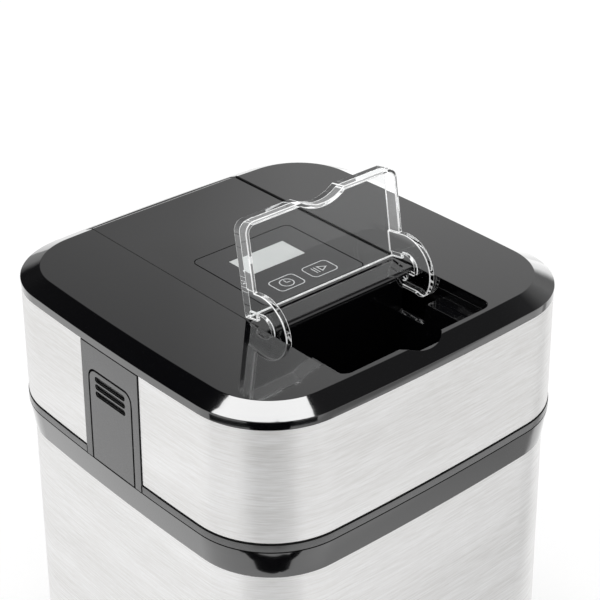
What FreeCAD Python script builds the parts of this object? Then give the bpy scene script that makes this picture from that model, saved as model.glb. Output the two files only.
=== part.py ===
import FreeCAD, Part
import Sketcher
import math
import os
import re

# Driving dimensions, in millimetres and degrees
SIZES = {
    # Outer form: a square plan with bowed sides, flaring a little towards the foot
    "total_height": 238.0,
    "half_width": 105.0,
    "corner_radius": 42.6,
    "bow_radius": 1600.0,
    "flare": 1.15,
    "head_height": 71.5,
    # Top cover
    "bevel_run": 9.9,
    "bevel_drop": 4.4,
    "cover_depth": 8.5,
    "skirt_wall": 3.0,
    "top_wall": 5.2,
    "panel_wall": 3.0,
    "strip_half": 47.0,
    "strip_depth": 2.9,
    "strip_sink": 0.7,
    "opening_front": 92.2,
    "opening_rear": 22.5,
    "opening_round": 6.0,
    "scoop_half": 13.0,
    "scoop_deep": 6.5,
    # Head frame, steel bands and floor
    "steel_wall": 0.8,
    "band_inset": 0.3,
    "band_bed": 1.3,
    "band_gap": 0.6,
    "frame_wall": 4.0,
    "lip_height": 4.2,
    "pillar_half": 21.7,
    "pillar_deep": 13.0,
    "ledge_width": 6.0,
    "ledge_thick": 3.0,
    "floor_rise": 7.0,
    "floor_wall": 2.5,
    "snug": 0.3,
    # Rim ring, wrap and base
    "ring_height": 15.2,
    "ring_taper": 1.9,
    "ring_wall": 3.4,
    "ring_skirt": 6.0,
    "deck": 3.0,
    "wrap_step": 0.3,
    "pan_height": 10.0,
    "pan_undercut": 1.5,
    "pan_floor": 2.5,
    "pan_wall": 2.0,
    "pan_collar": 8.0,
    "foot_height": 4.0,
    "foot_radius": 10.0,
    "foot_place": 75.0,
    "foot_draft": 8.0,
    "screw_radius": 1.5,
    "screw_clear": 0.1,
    "screw_head": 2.2,
    "screw_head_radius": 3.2,
    "screw_length": 10.0,
    "boss_radius": 5.0,
    "boss_place": 52.0,
    # Bowl, its well and the paddle
    "well_floor": 22.0,
    "well_wall": 2.0,
    "bowl_radius": 91.0,
    "bowl_clear": 1.2,
    "bowl_wall": 2.0,
    "gel_wall": 6.0,
    "bowl_proud": 3.5,
    "rim_height": 6.0,
    "rim_flange": 0.8,
    "bowl_bevel": 14.0,
    "pivot_radius": 5.0,
    "pivot_height": 7.0,
    "run_clear": 0.05,
    "hub_radius": 9.0,
    "hub_below": 20.0,
    "hub_clear": 0.5,
    "root": 1.0,
    "stem_side": 10.0,
    "stem_clear": 0.2,
    "stem_past": 8.5,
    "blade_thick": 5.0,
    "blade_reach": 76.0,
    "blade_bar": 10.0,
    "blade_lift": 2.5,
    "blade_below": 11.5,
    "blade_ratio": 0.6,
    "toe_run": 4.0,
    "toe_rise": 6.0,
    # Flap: pivot place, plate and gooseneck arms
    "pivot_back": 35.0,
    "pivot_drop": 8.0,
    "flap_open": 99.2,
    "flap_sink": 0.3,
    "flap_plate": 2.0,
    "flap_rim": 2.0,
    "flap_deep": 8.7,
    "flap_gap": 0.6,
    "flap_rear": 44.6,
    "flap_round": 5.5,
    "dip_deep": 4.0,
    "arm_thick": 3.0,
    "arm_outer": 17.4,
    "arm_inner": 6.8,
    "arm_centre_y": 6.0,
    "arm_centre_z": 3.5,
    "arm_sweep": 130.0,
    "arm_eye": 4.5,
    "flap_pin": 2.0,
    "flap_pin_length": 2.4,
    # Fill chute
    "chute_wall": 2.0,
    "ledge_drop": 9.3,
    "chute_back": 42.2,
    "chute_step": 4.2,
    "spout_draw": 8.0,
    "spout_slope": 16.0,
    "arm_bay": 11.0,
    "spout_past": 1.0,
    "spout_gap": 1.0,
    "well_side_cut": 20.0,
    "arm_well_drop": 31.0,
    "arm_well_front": 60.2,
    "arm_well_rear": 24.0,
    # Controls
    "nose_front": 41.7,
    "nose_round": 2.0,
    "nose_notch": 1.2,
    "film_half": 30.8,
    "film_rear": 35.0,
    "film_front": 24.0,
    "film_thick": 0.4,
    "film_round": 4.0,
    "film_gap": 0.15,
    "screen_half": 17.0,
    "screen_front": 5.2,
    "screen_rear": 22.7,
    "screen_sink": 0.1,
    "module_margin": 5.0,
    "module_drop": 3.4,
    "board_drop": 8.0,
    "board_thick": 1.6,
    "board_half": 31.0,
    "board_front": 18.0,
    "board_rear": 32.0,
    "bay_gap": 1.0,
    "post_radius": 2.5,
    "post_inset": 4.0,
    "key_x": 10.5,
    "key_y": 12.9,
    "pad_radius": 4.5,
    # Drive
    "gear_module": 1.0,
    "gear_backlash": 0.2,
    "pressure_angle": 20.0,
    "wheel_addendum": 0.6,
    "pinion_addendum": 1.0,
    "dedendum": 1.25,
    "press_gap": 0.02,
    "collar_wall": 2.5,
    "output_teeth": 42,
    "idler_small_teeth": 12,
    "idler_big_teeth": 40,
    "pinion_teeth": 10,
    "gear_lift": 2.0,
    "slow_width": 8.0,
    "fast_width": 6.0,
    "layer_gap": 1.2,
    "shaft_radius": 10.0,
    "shaft_below": 13.5,
    "shoulder_radius": 12.5,
    "socket_deep": 24.0,
    "stub_radius": 4.0,
    "pin_radius": 2.0,
    "box_wall": 2.0,
    "box_clear": 2.9,
    "box_height": 22.0,
    "box_round": 20.0,
    "motor_radius": 24.0,
    "motor_height": 28.0,
    "motor_shaft": 2.0,
    "shaft_in_motor": 12.0,
    "ear_out": 3.5,
    "ear_radius": 4.5,
    "ear_thick": 2.0,
    # Power board, gland, gasket
    "power_left": 82.0,
    "power_gap": 1.5,
    "power_front": 4.0,
    "power_rear": 62.0,
    "power_stand": 6.0,
    "power_part": 18.0,
    "gland_x": 40.0,
    "gland_drop": 50.0,
    "gland_radius": 6.0,
    "gland_bore": 3.5,
    "gland_flange": 9.0,
    "gland_proud": 1.3,
    "gland_length": 10.0,
    "gasket_inner": 82.0,
    "gasket_outer": 90.5,
    # Side latches
    "latch_half": 16.2,
    "latch_gap": 0.5,
    "latch_top": 21.6,
    "latch_wall": 3.0,
    "latch_round": 5.0,
    "latch_pivot_rise": 21.5,
    "latch_pivot_in": 6.0,
    "latch_pin": 1.5,
    "latch_pin_half": 20.5,
    "knuckle": 4.0,
    "leg_out": 4.5,
    "leg_thick": 2.5,
    "leg_below": 10.0,
    "barb": 1.5,
    "slot_room": 2.4,
    "slot_deep": 13.0,
    "grip_first": 25.6,
    "grip_step": 3.9,
    "grip_half": 11.3,
    "grip_tall": 2.4,
    "grip_deep": 1.2,
    "bar_top": 24.0,
    "bar_low": 36.0,
    "bar_thick": 2.0,
    "leaf_half": 6.0,
    "leaf_margin": 1.0,
    "leaf_thick": 0.4,
}

# Sizes that follow from the driving ones; lengths that end in _z are heights above the table
DERIVED = {
    "corner_centre": "(sqrt(2 * (bow_radius - corner_radius)^2 - (bow_radius - half_width)^2)"
                     " - (bow_radius - half_width)) / 2",
    "cover_z": "total_height - cover_depth",
    "seam_z": "total_height - head_height",
    "band_z": "seam_z + lip_height + band_gap",
    "ring_z": "seam_z - ring_height",
    "deck_z": "seam_z - deck",
    "floor_drop": "head_height - floor_rise",
    "floor_z": "total_height - floor_drop",
    "floor_top_z": "floor_z + floor_wall",
    "wrap_z": "foot_height + pan_height",
    "seam_grow": "(head_height - bevel_drop) * tan(flare)",
    "ring_grow": "seam_grow - ring_taper",
    "wrap_grow": "ring_grow - wrap_step + (ring_z - wrap_z) * tan(flare)",
    "floor_grow": "(floor_drop - bevel_drop) * tan(flare)",
    "band_grow": "seam_grow - (lip_height + band_gap) * tan(flare)",
    "frame_height": "head_height - cover_depth",
    "well_radius": "bowl_radius + bowl_clear",
    "bowl_inner": "bowl_radius - 2 * bowl_wall - gel_wall",
    "bowl_floor": "well_floor + 2 * bowl_wall + gel_wall",
    "bowl_top": "seam_z + bowl_proud",
    "rim_z": "bowl_top - rim_height",
    "gel_bevel": "bowl_bevel - (2 - sqrt(2)) * bowl_wall",
    "inner_bevel": "gel_bevel - (2 - sqrt(2)) * gel_wall",
    "hub_z": "bowl_floor + pivot_height - hub_sink",
    "hub_sink": "pivot_height - hub_clear",
    "hub_top": "bowl_top - hub_below",
    "stem_top": "floor_z + stem_past",
    "shaft_foot": "floor_z - shaft_below",
    "blade_low": "bowl_floor + blade_lift",
    "blade_tall": "hub_top - blade_below - blade_low",
    "blade_short": "blade_tall * blade_ratio",
    "pivot_z": "total_height - pivot_drop",
    "screw_place": "corner_centre + (corner_radius - frame_wall - ledge_width / 2) / sqrt(2)",
    "scoop_radius": "(scoop_half^2 + scoop_deep^2) / (2 * scoop_deep)",
    "scoop_y": "scoop_radius - scoop_deep - opening_front",
    "tray_front": "opening_front + chute_wall",
    "chute_half": "strip_half - arm_bay",
    "chute_front": "opening_front - chute_step",
    "spout_half": "chute_half - spout_draw",
    "spout_front": "chute_front - spout_slope",
    "idler_y": "gear_module * (output_teeth + idler_small_teeth) / 2",
    "motor_y": "idler_y + gear_module * (idler_big_teeth + pinion_teeth) / 2",
    "box_half": "gear_module * (output_teeth / 2 + wheel_addendum) + box_clear + box_wall",
    "motor_ear": "box_half + ear_out",
    "power_right": "motor_ear + ear_radius + power_gap",
    "slow_z": "floor_top_z + gear_lift",
    "fast_z": "slow_z + slow_width + layer_gap",
    "box_z": "floor_top_z + box_height",
    "latch_pivot_drop": "head_height - latch_pivot_rise",
    "latch_z": "total_height - latch_pivot_drop",
    "latch_x": "half_width + (latch_pivot_drop - bevel_drop) * tan(flare) - latch_pivot_in",
    "leg_face": "half_width - leg_out",
    "leg_back": "leg_face - leg_thick",
    "barb_tip": "leg_back - barb",
    "latch_foot_z": "seam_z + snug",
    "bar_x": "half_width - pillar_deep + bar_thick",
}

doc = FreeCAD.newDocument("frozen_yogurt_machine")
sheet = doc.addObject("Spreadsheet::Sheet", "dims")
V = FreeCAD.Vector
WORD = re.compile(r"[a-z_][a-z0-9_]*")


def fill_sheet():
    for row, (alias, value) in enumerate(SIZES.items(), start=1):
        sheet.set("A%d" % row, alias)
        sheet.set("B%d" % row, str(value))
        sheet.setAlias("B%d" % row, alias)
    doc.recompute()


def formula(text):
    """Write a size in plain names as an expression on the sheet's cells."""
    def swap(match):
        word = match.group(0)
        if word in SIZES:
            return "dims." + word
        if word in DERIVED:
            return "(" + formula(DERIVED[word]) + ")"
        return word
    return WORD.sub(swap, str(text))


def number(text):
    return float(sheet.evalExpression(formula(text)))


def bind(thing, name, text):
    thing.setExpression(name, formula(text))


# Sketch helpers

def new_body(label):
    body = doc.addObject("PartDesign::Body", label)
    body.Label = label
    body.AllowCompound = True
    return body


def sketch(body, name, plane, lift="0"):
    planes = {item.Role: item for item in body.Origin.OriginFeatures}
    made = body.newObject("Sketcher::SketchObject", body.Label + "_" + name)
    made.AttachmentSupport = (planes[plane], "")
    made.MapMode = "FlatFace"
    bind(made, "AttachmentOffset.Base.z", lift)
    return made


def rule(sk, kind, *args):
    return sk.addConstraint(Sketcher.Constraint(kind, *args))


def measure(sk, kind, args, text):
    index = rule(sk, kind, *args, number(text))
    bind(sk, "Constraints[%d]" % index, text)


def pin(sk, item, point, x, y):
    """Hold a point of the sketch at x, y from its origin."""
    for kind, text, axis in (("DistanceX", x, -2), ("DistanceY", y, -1)):
        if abs(number(text)) < 1e-9:
            rule(sk, "PointOnObject", item, point, axis)
        else:
            measure(sk, kind, (-1, 1, item, point), text)


def circle(sk, x, y, radius):
    centre = V(number(x), number(y), 0)
    item = sk.addGeometry(Part.Circle(centre, V(0, 0, 1), number(radius)))
    pin(sk, item, 3, x, y)
    measure(sk, "Radius", (item,), radius)


def polygon(sk, points):
    corners = [V(number(x), number(y), 0) for x, y in points]
    ends = corners[1:] + corners[:1]
    lines = [sk.addGeometry(Part.LineSegment(a, b)) for a, b in zip(corners, ends)]
    for k, line in enumerate(lines):
        rule(sk, "Coincident", lines[k - 1], 2, line, 1)
    for line, (x, y) in zip(lines, points):
        pin(sk, line, 1, x, y)


def rectangle(sk, x0, x1, y0, y1):
    polygon(sk, [(x0, y0), (x1, y0), (x1, y1), (x0, y1)])


def arc(centre, radius, start, end):
    round_line = Part.Circle(centre, V(0, 0, 1), radius)
    return Part.ArcOfCircle(round_line, math.radians(start), math.radians(end))


def chain(sk, items):
    """Join arcs and lines end to end, tangent, into a closed outline."""
    for k, item in enumerate(items):
        rule(sk, "Tangent", items[k - 1], 2, item, 1)


def rounded_rectangle(sk, x0, x1, y0, y1, radius):
    left, right, low, high, r = (number(text) for text in (x0, x1, y0, y1, radius))
    runs = [(V(left + r, low), V(right - r, low)), (V(right, low + r), V(right, high - r)),
            (V(right - r, high), V(left + r, high)), (V(left, high - r), V(left, low + r))]
    centres = [V(right - r, low + r), V(right - r, high - r), V(left + r, high - r), V(left + r, low + r)]
    items = []
    for k, (run, centre) in enumerate(zip(runs, centres)):
        items.append(sk.addGeometry(Part.LineSegment(*run)))
        items.append(sk.addGeometry(arc(centre, r, 90 * k - 90, 90 * k)))
    chain(sk, items)
    for k, text in enumerate((y0, x1, y1, x0)):
        rule(sk, ("Horizontal", "Vertical")[k % 2], items[2 * k])
        measure(sk, ("DistanceY", "DistanceX")[k % 2], (-1, 1, items[2 * k], 1), text)
        measure(sk, "Radius", (items[2 * k + 1],), radius)


def outline(sk, grow):
    """The machine's plan outline, grown outwards by a distance: four bowed sides and four corners."""
    out = number(grow)
    bow, corner = number("bow_radius"), number("corner_radius")
    back = number("bow_radius - half_width")
    centre = number("corner_centre")
    turn = math.degrees(math.atan2(centre, back + centre))
    items = []
    for k in range(4):
        spin = FreeCAD.Rotation(V(0, 0, 1), 90 * k)
        side = spin.multVec(V(-back, 0, 0))
        knee = spin.multVec(V(centre, centre, 0))
        items.append(sk.addGeometry(arc(side, bow + out, 90 * k - turn, 90 * k + turn)))
        items.append(sk.addGeometry(arc(knee, corner + out, 90 * k + turn, 90 * k + 90 - turn)))
    chain(sk, items)
    for k in range(4):
        side, knee = items[2 * k], items[2 * k + 1]
        rule(sk, "PointOnObject", side, 3, (-1, -2)[k % 2])
        sign = ("-", "-", "", "")[k]
        kind = ("DistanceX", "DistanceY")[k % 2]
        measure(sk, kind, (-1, 1, side, 3), sign + "(bow_radius - half_width)")
        measure(sk, "Radius", (side,), "bow_radius + (%s)" % grow)
        measure(sk, "Radius", (knee,), "corner_radius + (%s)" % grow)


# Feature helpers

def extrude(kind, sk, length, taper, reverse, both):
    body = sk.getParentGeoFeatureGroup()
    made = body.newObject("PartDesign::" + kind, sk.Name + "_" + kind.lower())
    made.Profile = sk
    bind(made, "Length", length)
    bind(made, "TaperAngle", taper)
    made.Reversed = reverse
    made.SideType = "Symmetric" if both else "One side"
    return made


def pad(sk, length, taper="0", down=False, both=False):
    return extrude("Pad", sk, length, taper, down, both)


def cut(sk, length, taper="0", up=False, both=False):
    return extrude("Pocket", sk, length, taper, up, both)


def revolve(sk):
    body = sk.getParentGeoFeatureGroup()
    made = body.newObject("PartDesign::Revolution", sk.Name + "_turned")
    made.Profile = sk
    made.ReferenceAxis = (sk, ["V_Axis"])
    return made


def loft(kind, first, second):
    body = first.getParentGeoFeatureGroup()
    made = body.newObject("PartDesign::" + kind, first.Name + "_loft")
    made.Profile = first
    made.Sections = [second]
    made.Ruled = True


def mirror(body, features):
    planes = {item.Role: item for item in body.Origin.OriginFeatures}
    made = body.newObject("PartDesign::Mirrored", body.Label + "_mirrored")
    made.Originals = features
    made.MirrorPlane = (planes["YZ_Plane"], [""])
    body.Tip = made


def dress_edges(kind, body, wanted):
    doc.recompute()
    base = body.Tip
    names = ["Edge%d" % k for k, edge in enumerate(base.Shape.Edges, start=1) if wanted(edge)]
    made = body.newObject("PartDesign::" + kind, body.Label + "_edge%d" % len(body.Group))
    made.Base = (base, names)
    return made


def round_edges(body, radius, wanted):
    bind(dress_edges("Fillet", body, wanted), "Radius", radius)


def bevel_edges(body, size, wanted):
    bind(dress_edges("Chamfer", body, wanted), "Size", size)


def ring_edge(radius, height):
    """Test for a round edge about the upright axis."""
    def wanted(edge):
        box = edge.BoundBox
        level = abs(box.ZMin - number(height)) + abs(box.ZMax - number(height)) < 1e-3
        return level and abs(box.XMax - number(radius)) < 1e-3 and abs(box.YMax - number(radius)) < 1e-3
    return wanted


def pair(sk, x, y, radius):
    """Two circles, one on each side of the middle."""
    circle(sk, x, y, radius)
    circle(sk, "-(%s)" % x, y, radius)


def four(sk, place, radius):
    """Circles at the corners of a square."""
    pair(sk, place, place, radius)
    pair(sk, place, "-(%s)" % place, radius)


# Base: pan, feet, screws, wrap, well and ring

def base_pan():
    body = new_body("base_pan")
    foot = sketch(body, "foot", "XY_Plane", "foot_height")
    outline(foot, "wrap_grow - pan_undercut")
    pad(foot, "pan_height", "atan(pan_undercut / pan_height)")
    collar = sketch(body, "collar", "XY_Plane", "wrap_z")
    outline(collar, "wrap_grow - steel_wall - snug")
    pad(collar, "pan_collar", "-flare")
    hollow = sketch(body, "hollow", "XY_Plane", "foot_height + pan_floor")
    outline(hollow, "wrap_grow - steel_wall - snug - pan_wall")
    cut(hollow, "pan_height - pan_floor + pan_collar", "-flare", up=True)
    holes = sketch(body, "holes", "XY_Plane", "foot_height")
    four(holes, "boss_place", "screw_radius + screw_clear")
    cut(holes, "pan_floor", up=True)


def rubber_feet():
    body = new_body("rubber_feet")
    discs = sketch(body, "discs", "XY_Plane")
    four(discs, "foot_place", "foot_radius")
    pad(discs, "foot_height", "foot_draft")


def screw_set(label, place, seat_z):
    """Four screws driven upwards, heads under the seat."""
    body = new_body(label)
    heads = sketch(body, "heads", "XY_Plane", seat_z)
    four(heads, place, "screw_head_radius")
    pad(heads, "screw_head", down=True)
    shanks = sketch(body, "shanks", "XY_Plane", seat_z)
    four(shanks, place, "screw_radius")
    pad(shanks, "screw_length" if label == "base_screws" else "floor_wall + ledge_thick")


def housing_wrap():
    body = new_body("housing_wrap")
    outside = sketch(body, "outside", "XY_Plane", "wrap_z")
    outline(outside, "wrap_grow")
    pad(outside, "ring_z - wrap_z", "-flare")
    inside = sketch(body, "inside", "XY_Plane", "wrap_z")
    outline(inside, "wrap_grow - steel_wall")
    cut(inside, "ring_z - wrap_z", "-flare", up=True)


def bowl_well():
    body = new_body("bowl_well")
    wall = sketch(body, "wall", "XZ_Plane")
    polygon(wall, [("0", "well_floor - well_wall"), ("well_radius + well_wall", "well_floor - well_wall"),
                   ("well_radius + well_wall", "deck_z"), ("well_radius", "deck_z"),
                   ("well_radius", "well_floor"), ("0", "well_floor")])
    revolve(wall)
    bosses = sketch(body, "bosses", "XY_Plane", "foot_height + pan_floor")
    four(bosses, "boss_place", "boss_radius")
    pad(bosses, "well_floor - well_wall / 2 - foot_height - pan_floor")
    pilots = sketch(body, "pilots", "XY_Plane", "foot_height + pan_floor")
    four(pilots, "boss_place", "screw_radius + screw_clear")
    cut(pilots, "screw_length - pan_floor + snug", up=True)


def rim_ring():
    body = new_body("rim_ring")
    skirt = sketch(body, "skirt", "XY_Plane", "ring_z - ring_skirt")
    outline(skirt, "ring_grow - wrap_step - steel_wall - snug")
    pad(skirt, "ring_skirt + deck")
    face = sketch(body, "face", "XY_Plane", "ring_z")
    outline(face, "ring_grow")
    pad(face, "ring_height", "atan(ring_taper / ring_height)")
    hollow = sketch(body, "hollow", "XY_Plane", "ring_z - ring_skirt")
    outline(hollow, "ring_grow - ring_wall")
    cut(hollow, "ring_skirt + ring_height - deck", up=True)
    mouth = sketch(body, "mouth", "XY_Plane", "seam_z")
    circle(mouth, "0", "0", "well_radius")
    cut(mouth, "deck")
    slots = sketch(body, "slots", "XY_Plane", "seam_z")
    near, far = "barb_tip - snug", "leg_face + slot_room"
    for left, right in ((near, far), ("-(%s)" % far, "-(%s)" % near)):
        rectangle(slots, left, right, "-latch_half - latch_gap", "latch_half + latch_gap")
    cut(slots, "slot_deep")


# Freezer bowl and paddle

def bowl_shell(label, radius, floor, top, wall, outer_bevel):
    """Cup of even wall with a bevelled foot edge."""
    body = new_body(label)
    inside, bed = "%s - %s" % (radius, wall), "%s + %s" % (floor, wall)
    side = sketch(body, "side", "XZ_Plane")
    polygon(side, [("0", floor), (radius, floor), (radius, top), (inside, top), (inside, bed), ("0", bed)])
    revolve(side)
    bevel_edges(body, outer_bevel, ring_edge(radius, floor))
    return body, ring_edge(inside, bed)


def freezer_bowl():
    outer, corner = bowl_shell("bowl_outer", "bowl_radius", "well_floor", "rim_z", "bowl_wall", "bowl_bevel")
    bevel_edges(outer, "gel_bevel", corner)
    gel, corner = bowl_shell("coolant_gel", "(bowl_radius - bowl_wall)", "(well_floor + bowl_wall)",
                             "rim_z - rim_height", "gel_wall", "gel_bevel")
    bevel_edges(gel, "inner_bevel", corner)
    inner, corner = bowl_shell("bowl_inner_shell", "(bowl_inner + bowl_wall)", "(bowl_floor - bowl_wall)",
                               "rim_z", "bowl_wall", "inner_bevel")
    round_edges(inner, "bowl_bevel", corner)
    pivot = sketch(inner, "pivot", "XY_Plane", "bowl_floor - bowl_wall / 2")
    circle(pivot, "0", "0", "pivot_radius")
    pad(pivot, "pivot_height + bowl_wall / 2")
    rim = new_body("bowl_rim")
    band = sketch(rim, "band", "XZ_Plane")
    rectangle(band, "bowl_inner", "bowl_radius + rim_flange", "rim_z", "bowl_top")
    revolve(band)
    bevel_edges(rim, "rim_height / 4", ring_edge("bowl_radius + rim_flange", "bowl_top"))
    bevel_edges(rim, "rim_height / 4", ring_edge("bowl_inner", "bowl_top"))


def blade(sk, side, tall):
    """One open blade of the paddle: foot arm, scraper bar and top arm round a window."""
    low = "blade_low"
    reach, root = side + "blade_reach", side + "hub_radius / 2"
    bar = side + "(blade_reach - blade_bar)"
    hub = side + "(hub_radius - root)"
    polygon(sk, [(root, low), (side + "(blade_reach - toe_run)", low), (reach, low + " + toe_rise"),
                 (reach, low + " + " + tall), (bar, low + " + " + tall),
                 (root, low + " + %s - blade_bar" % tall)])
    polygon(sk, [(hub, low + " + blade_bar"), (bar, low + " + blade_bar"),
                 (bar, low + " + %s - blade_bar" % tall), (hub, low + " + %s - 2 * blade_bar" % tall)])


def mixing_paddle():
    body = new_body("mixing_paddle")
    hub = sketch(body, "hub", "XY_Plane", "hub_z")
    circle(hub, "0", "0", "hub_radius")
    pad(hub, "hub_top - hub_z")
    for name, side, tall in (("tall_blade", "", "blade_tall"), ("short_blade", "-", "blade_short")):
        frame = sketch(body, name, "XZ_Plane")
        blade(frame, side, tall)
        pad(frame, "blade_thick", both=True)
    stem = sketch(body, "stem", "XY_Plane", "hub_top - root")
    rectangle(stem, "-stem_side / 2", "stem_side / 2", "-stem_side / 2", "stem_side / 2")
    pad(stem, "stem_top - hub_top + root")
    seat = sketch(body, "seat", "XY_Plane", "hub_z")
    circle(seat, "0", "0", "pivot_radius + run_clear")
    cut(seat, "hub_sink", up=True)


# Head: frame, bands, cover, floor

def side_profile(sk, side, inner, low_z, high_z):
    """Upright strip on one side face, following its flare."""
    def face(height):
        return "half_width + (total_height - (%s) - bevel_drop) * tan(flare)" % height
    polygon(sk, [(side + "(%s)" % inner, low_z), (side + "(%s)" % face(low_z), low_z),
                 (side + "(%s)" % face(high_z), high_z), (side + "(%s)" % inner, high_z)])


def latch_window(body):
    window = sketch(body, "window", "YZ_Plane")
    edge = "latch_half + latch_gap"
    rounded_rectangle(window, "-(%s)" % edge, edge, "seam_z - 2 * latch_round",
                      "total_height - latch_top + latch_gap", "latch_round + latch_gap")
    cut(window, "3 * half_width", both=True)


def head_frame():
    body = new_body("head_frame")
    core = sketch(body, "core", "XY_Plane", "seam_z")
    outline(core, "seam_grow - band_bed")
    pad(core, "frame_height", "-flare")
    lip = sketch(body, "lip", "XY_Plane", "seam_z")
    outline(lip, "seam_grow")
    pad(lip, "lip_height", "-flare")
    hollow = sketch(body, "hollow", "XY_Plane", "seam_z")
    outline(hollow, "seam_grow - frame_wall")
    cut(hollow, "frame_height", "-flare", up=True)
    ledge = sketch(body, "ledge", "XY_Plane", "floor_top_z")
    outline(ledge, "floor_grow - frame_wall / 2")
    outline(ledge, "floor_grow - frame_wall - ledge_width")
    pad(ledge, "ledge_thick")
    pillars = sketch(body, "pillars", "XZ_Plane")
    for side in ("", "-"):
        side_profile(pillars, side, "half_width - pillar_deep", "floor_top_z", "cover_z")
    pad(pillars, "2 * pillar_half", both=True)
    feet = sketch(body, "pillar_feet", "XZ_Plane")
    for side in ("", "-"):
        side_profile(feet, side, "half_width - frame_wall + root", "seam_z", "floor_top_z")
    pad(feet, "2 * pillar_half", both=True)
    latch_window(body)
    bars = sketch(body, "spring_bars", "XZ_Plane")
    for near, far in (("half_width - pillar_deep", "bar_x"), ("-bar_x", "pillar_deep - half_width")):
        rectangle(bars, near, far, "total_height - bar_low", "total_height - bar_top")
    pad(bars, "2 * pillar_half", both=True)
    pins = sketch(body, "pin_holes", "XZ_Plane")
    pair(pins, "latch_x", "latch_z", "latch_pin")
    cut(pins, "2 * latch_pin_half", both=True)
    pilots = sketch(body, "pilots", "XY_Plane", "floor_top_z")
    four(pilots, "screw_place", "screw_radius + screw_clear")
    cut(pilots, "ledge_thick", up=True)
    gland_hole(body)


def gland_hole(body):
    hole = sketch(body, "gland_hole", "XZ_Plane")
    circle(hole, "-gland_x", "total_height - gland_drop", "gland_radius + screw_clear")
    cut(hole, "2 * half_width")


def steel_band(label, side):
    """Half of the head's steel sleeve, stopping short of the latch pillars."""
    body = new_body(label)
    outside = sketch(body, "outside", "XY_Plane", "band_z")
    outline(outside, "band_grow - band_inset")
    pad(outside, "cover_z - band_z", "-flare")
    inside = sketch(body, "inside", "XY_Plane", "band_z")
    outline(inside, "band_grow - band_inset - steel_wall")
    cut(inside, "cover_z - band_z", "-flare", up=True)
    rest = sketch(body, "rest", "XY_Plane", "band_z")
    ends = ["%s(pillar_half + band_gap)" % side, "%s(2 * half_width)" % ("" if side == "-" else "-")]
    rectangle(rest, "-2 * half_width", "2 * half_width", ends[0], ends[1])
    cut(rest, "cover_z - band_z", up=True)
    if label == "rear_band":
        gland_hole(body)


def top_cover():
    body = new_body("top_cover")
    skirt = sketch(body, "skirt", "XY_Plane", "cover_z")
    outline(skirt, "0")
    pad(skirt, "cover_depth - bevel_drop")
    bevel = sketch(body, "bevel", "XY_Plane", "total_height - bevel_drop")
    outline(bevel, "0")
    pad(bevel, "bevel_drop", "-atan(bevel_run / bevel_drop)")
    hollow = sketch(body, "hollow", "XY_Plane", "cover_z")
    outline(hollow, "-skirt_wall")
    cut(hollow, "cover_depth - top_wall", up=True)
    panels = sketch(body, "panels", "XY_Plane", "total_height - top_wall")
    near, far = "(strip_half + 2 * skirt_wall)", "(half_width - bevel_run - 2 * skirt_wall)"
    for side in ("", "-"):
        rectangle(panels, side + near, side + far, "-corner_centre", "corner_centre")
    cut(panels, "top_wall - panel_wall", up=True)
    channel = sketch(body, "channel", "XY_Plane", "total_height")
    rectangle(channel, "-strip_half", "strip_half", "-chute_back", "2 * half_width")
    cut(channel, "strip_depth")
    opening = sketch(body, "opening", "XY_Plane", "total_height")
    rounded_rectangle(opening, "-strip_half", "strip_half", "-opening_front", "-opening_rear",
                      "opening_round")
    cut(opening, "cover_depth")
    bay = sketch(body, "bay", "XY_Plane", "total_height")
    rectangle(bay, "-board_half - bay_gap", "board_half + bay_gap", "-board_front - bay_gap",
              "board_rear + bay_gap")
    cut(bay, "cover_depth")
    scoop = sketch(body, "scoop", "XY_Plane", "total_height")
    circle(scoop, "0", "scoop_y", "scoop_radius")
    cut(scoop, "cover_depth")


def head_floor():
    body = new_body("head_floor")
    plate = sketch(body, "plate", "XY_Plane", "floor_z")
    outline(plate, "floor_grow - frame_wall - snug")
    pad(plate, "floor_wall")
    holes = sketch(body, "holes", "XY_Plane", "floor_z")
    circle(holes, "0", "0", "shaft_radius + run_clear")
    circle(holes, "0", "idler_y", "pin_radius")
    four(holes, "screw_place", "screw_radius + screw_clear")
    cut(holes, "floor_wall", up=True)
    outlet = sketch(body, "outlet", "XY_Plane", "floor_z")
    rectangle(outlet, "-spout_half - chute_wall - spout_gap", "spout_half + chute_wall + spout_gap",
              "-spout_front - chute_wall - 2 * spout_gap", "chute_wall + snug - chute_back")
    cut(outlet, "floor_wall", up=True)
    notches = sketch(body, "notches", "XY_Plane", "floor_z")
    edge = "pillar_half + snug"
    for near, far in (("half_width - pillar_deep - snug", "2 * half_width"),
                      ("-2 * half_width", "pillar_deep + snug - half_width")):
        rectangle(notches, near, far, "-(%s)" % edge, edge)
    cut(notches, "floor_wall", up=True)


def bowl_gasket():
    body = new_body("bowl_gasket")
    band = sketch(body, "band", "XZ_Plane")
    rectangle(band, "gasket_inner", "gasket_outer", "bowl_top + snug", "floor_z")
    revolve(band)


# Controls in the centre strip

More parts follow.
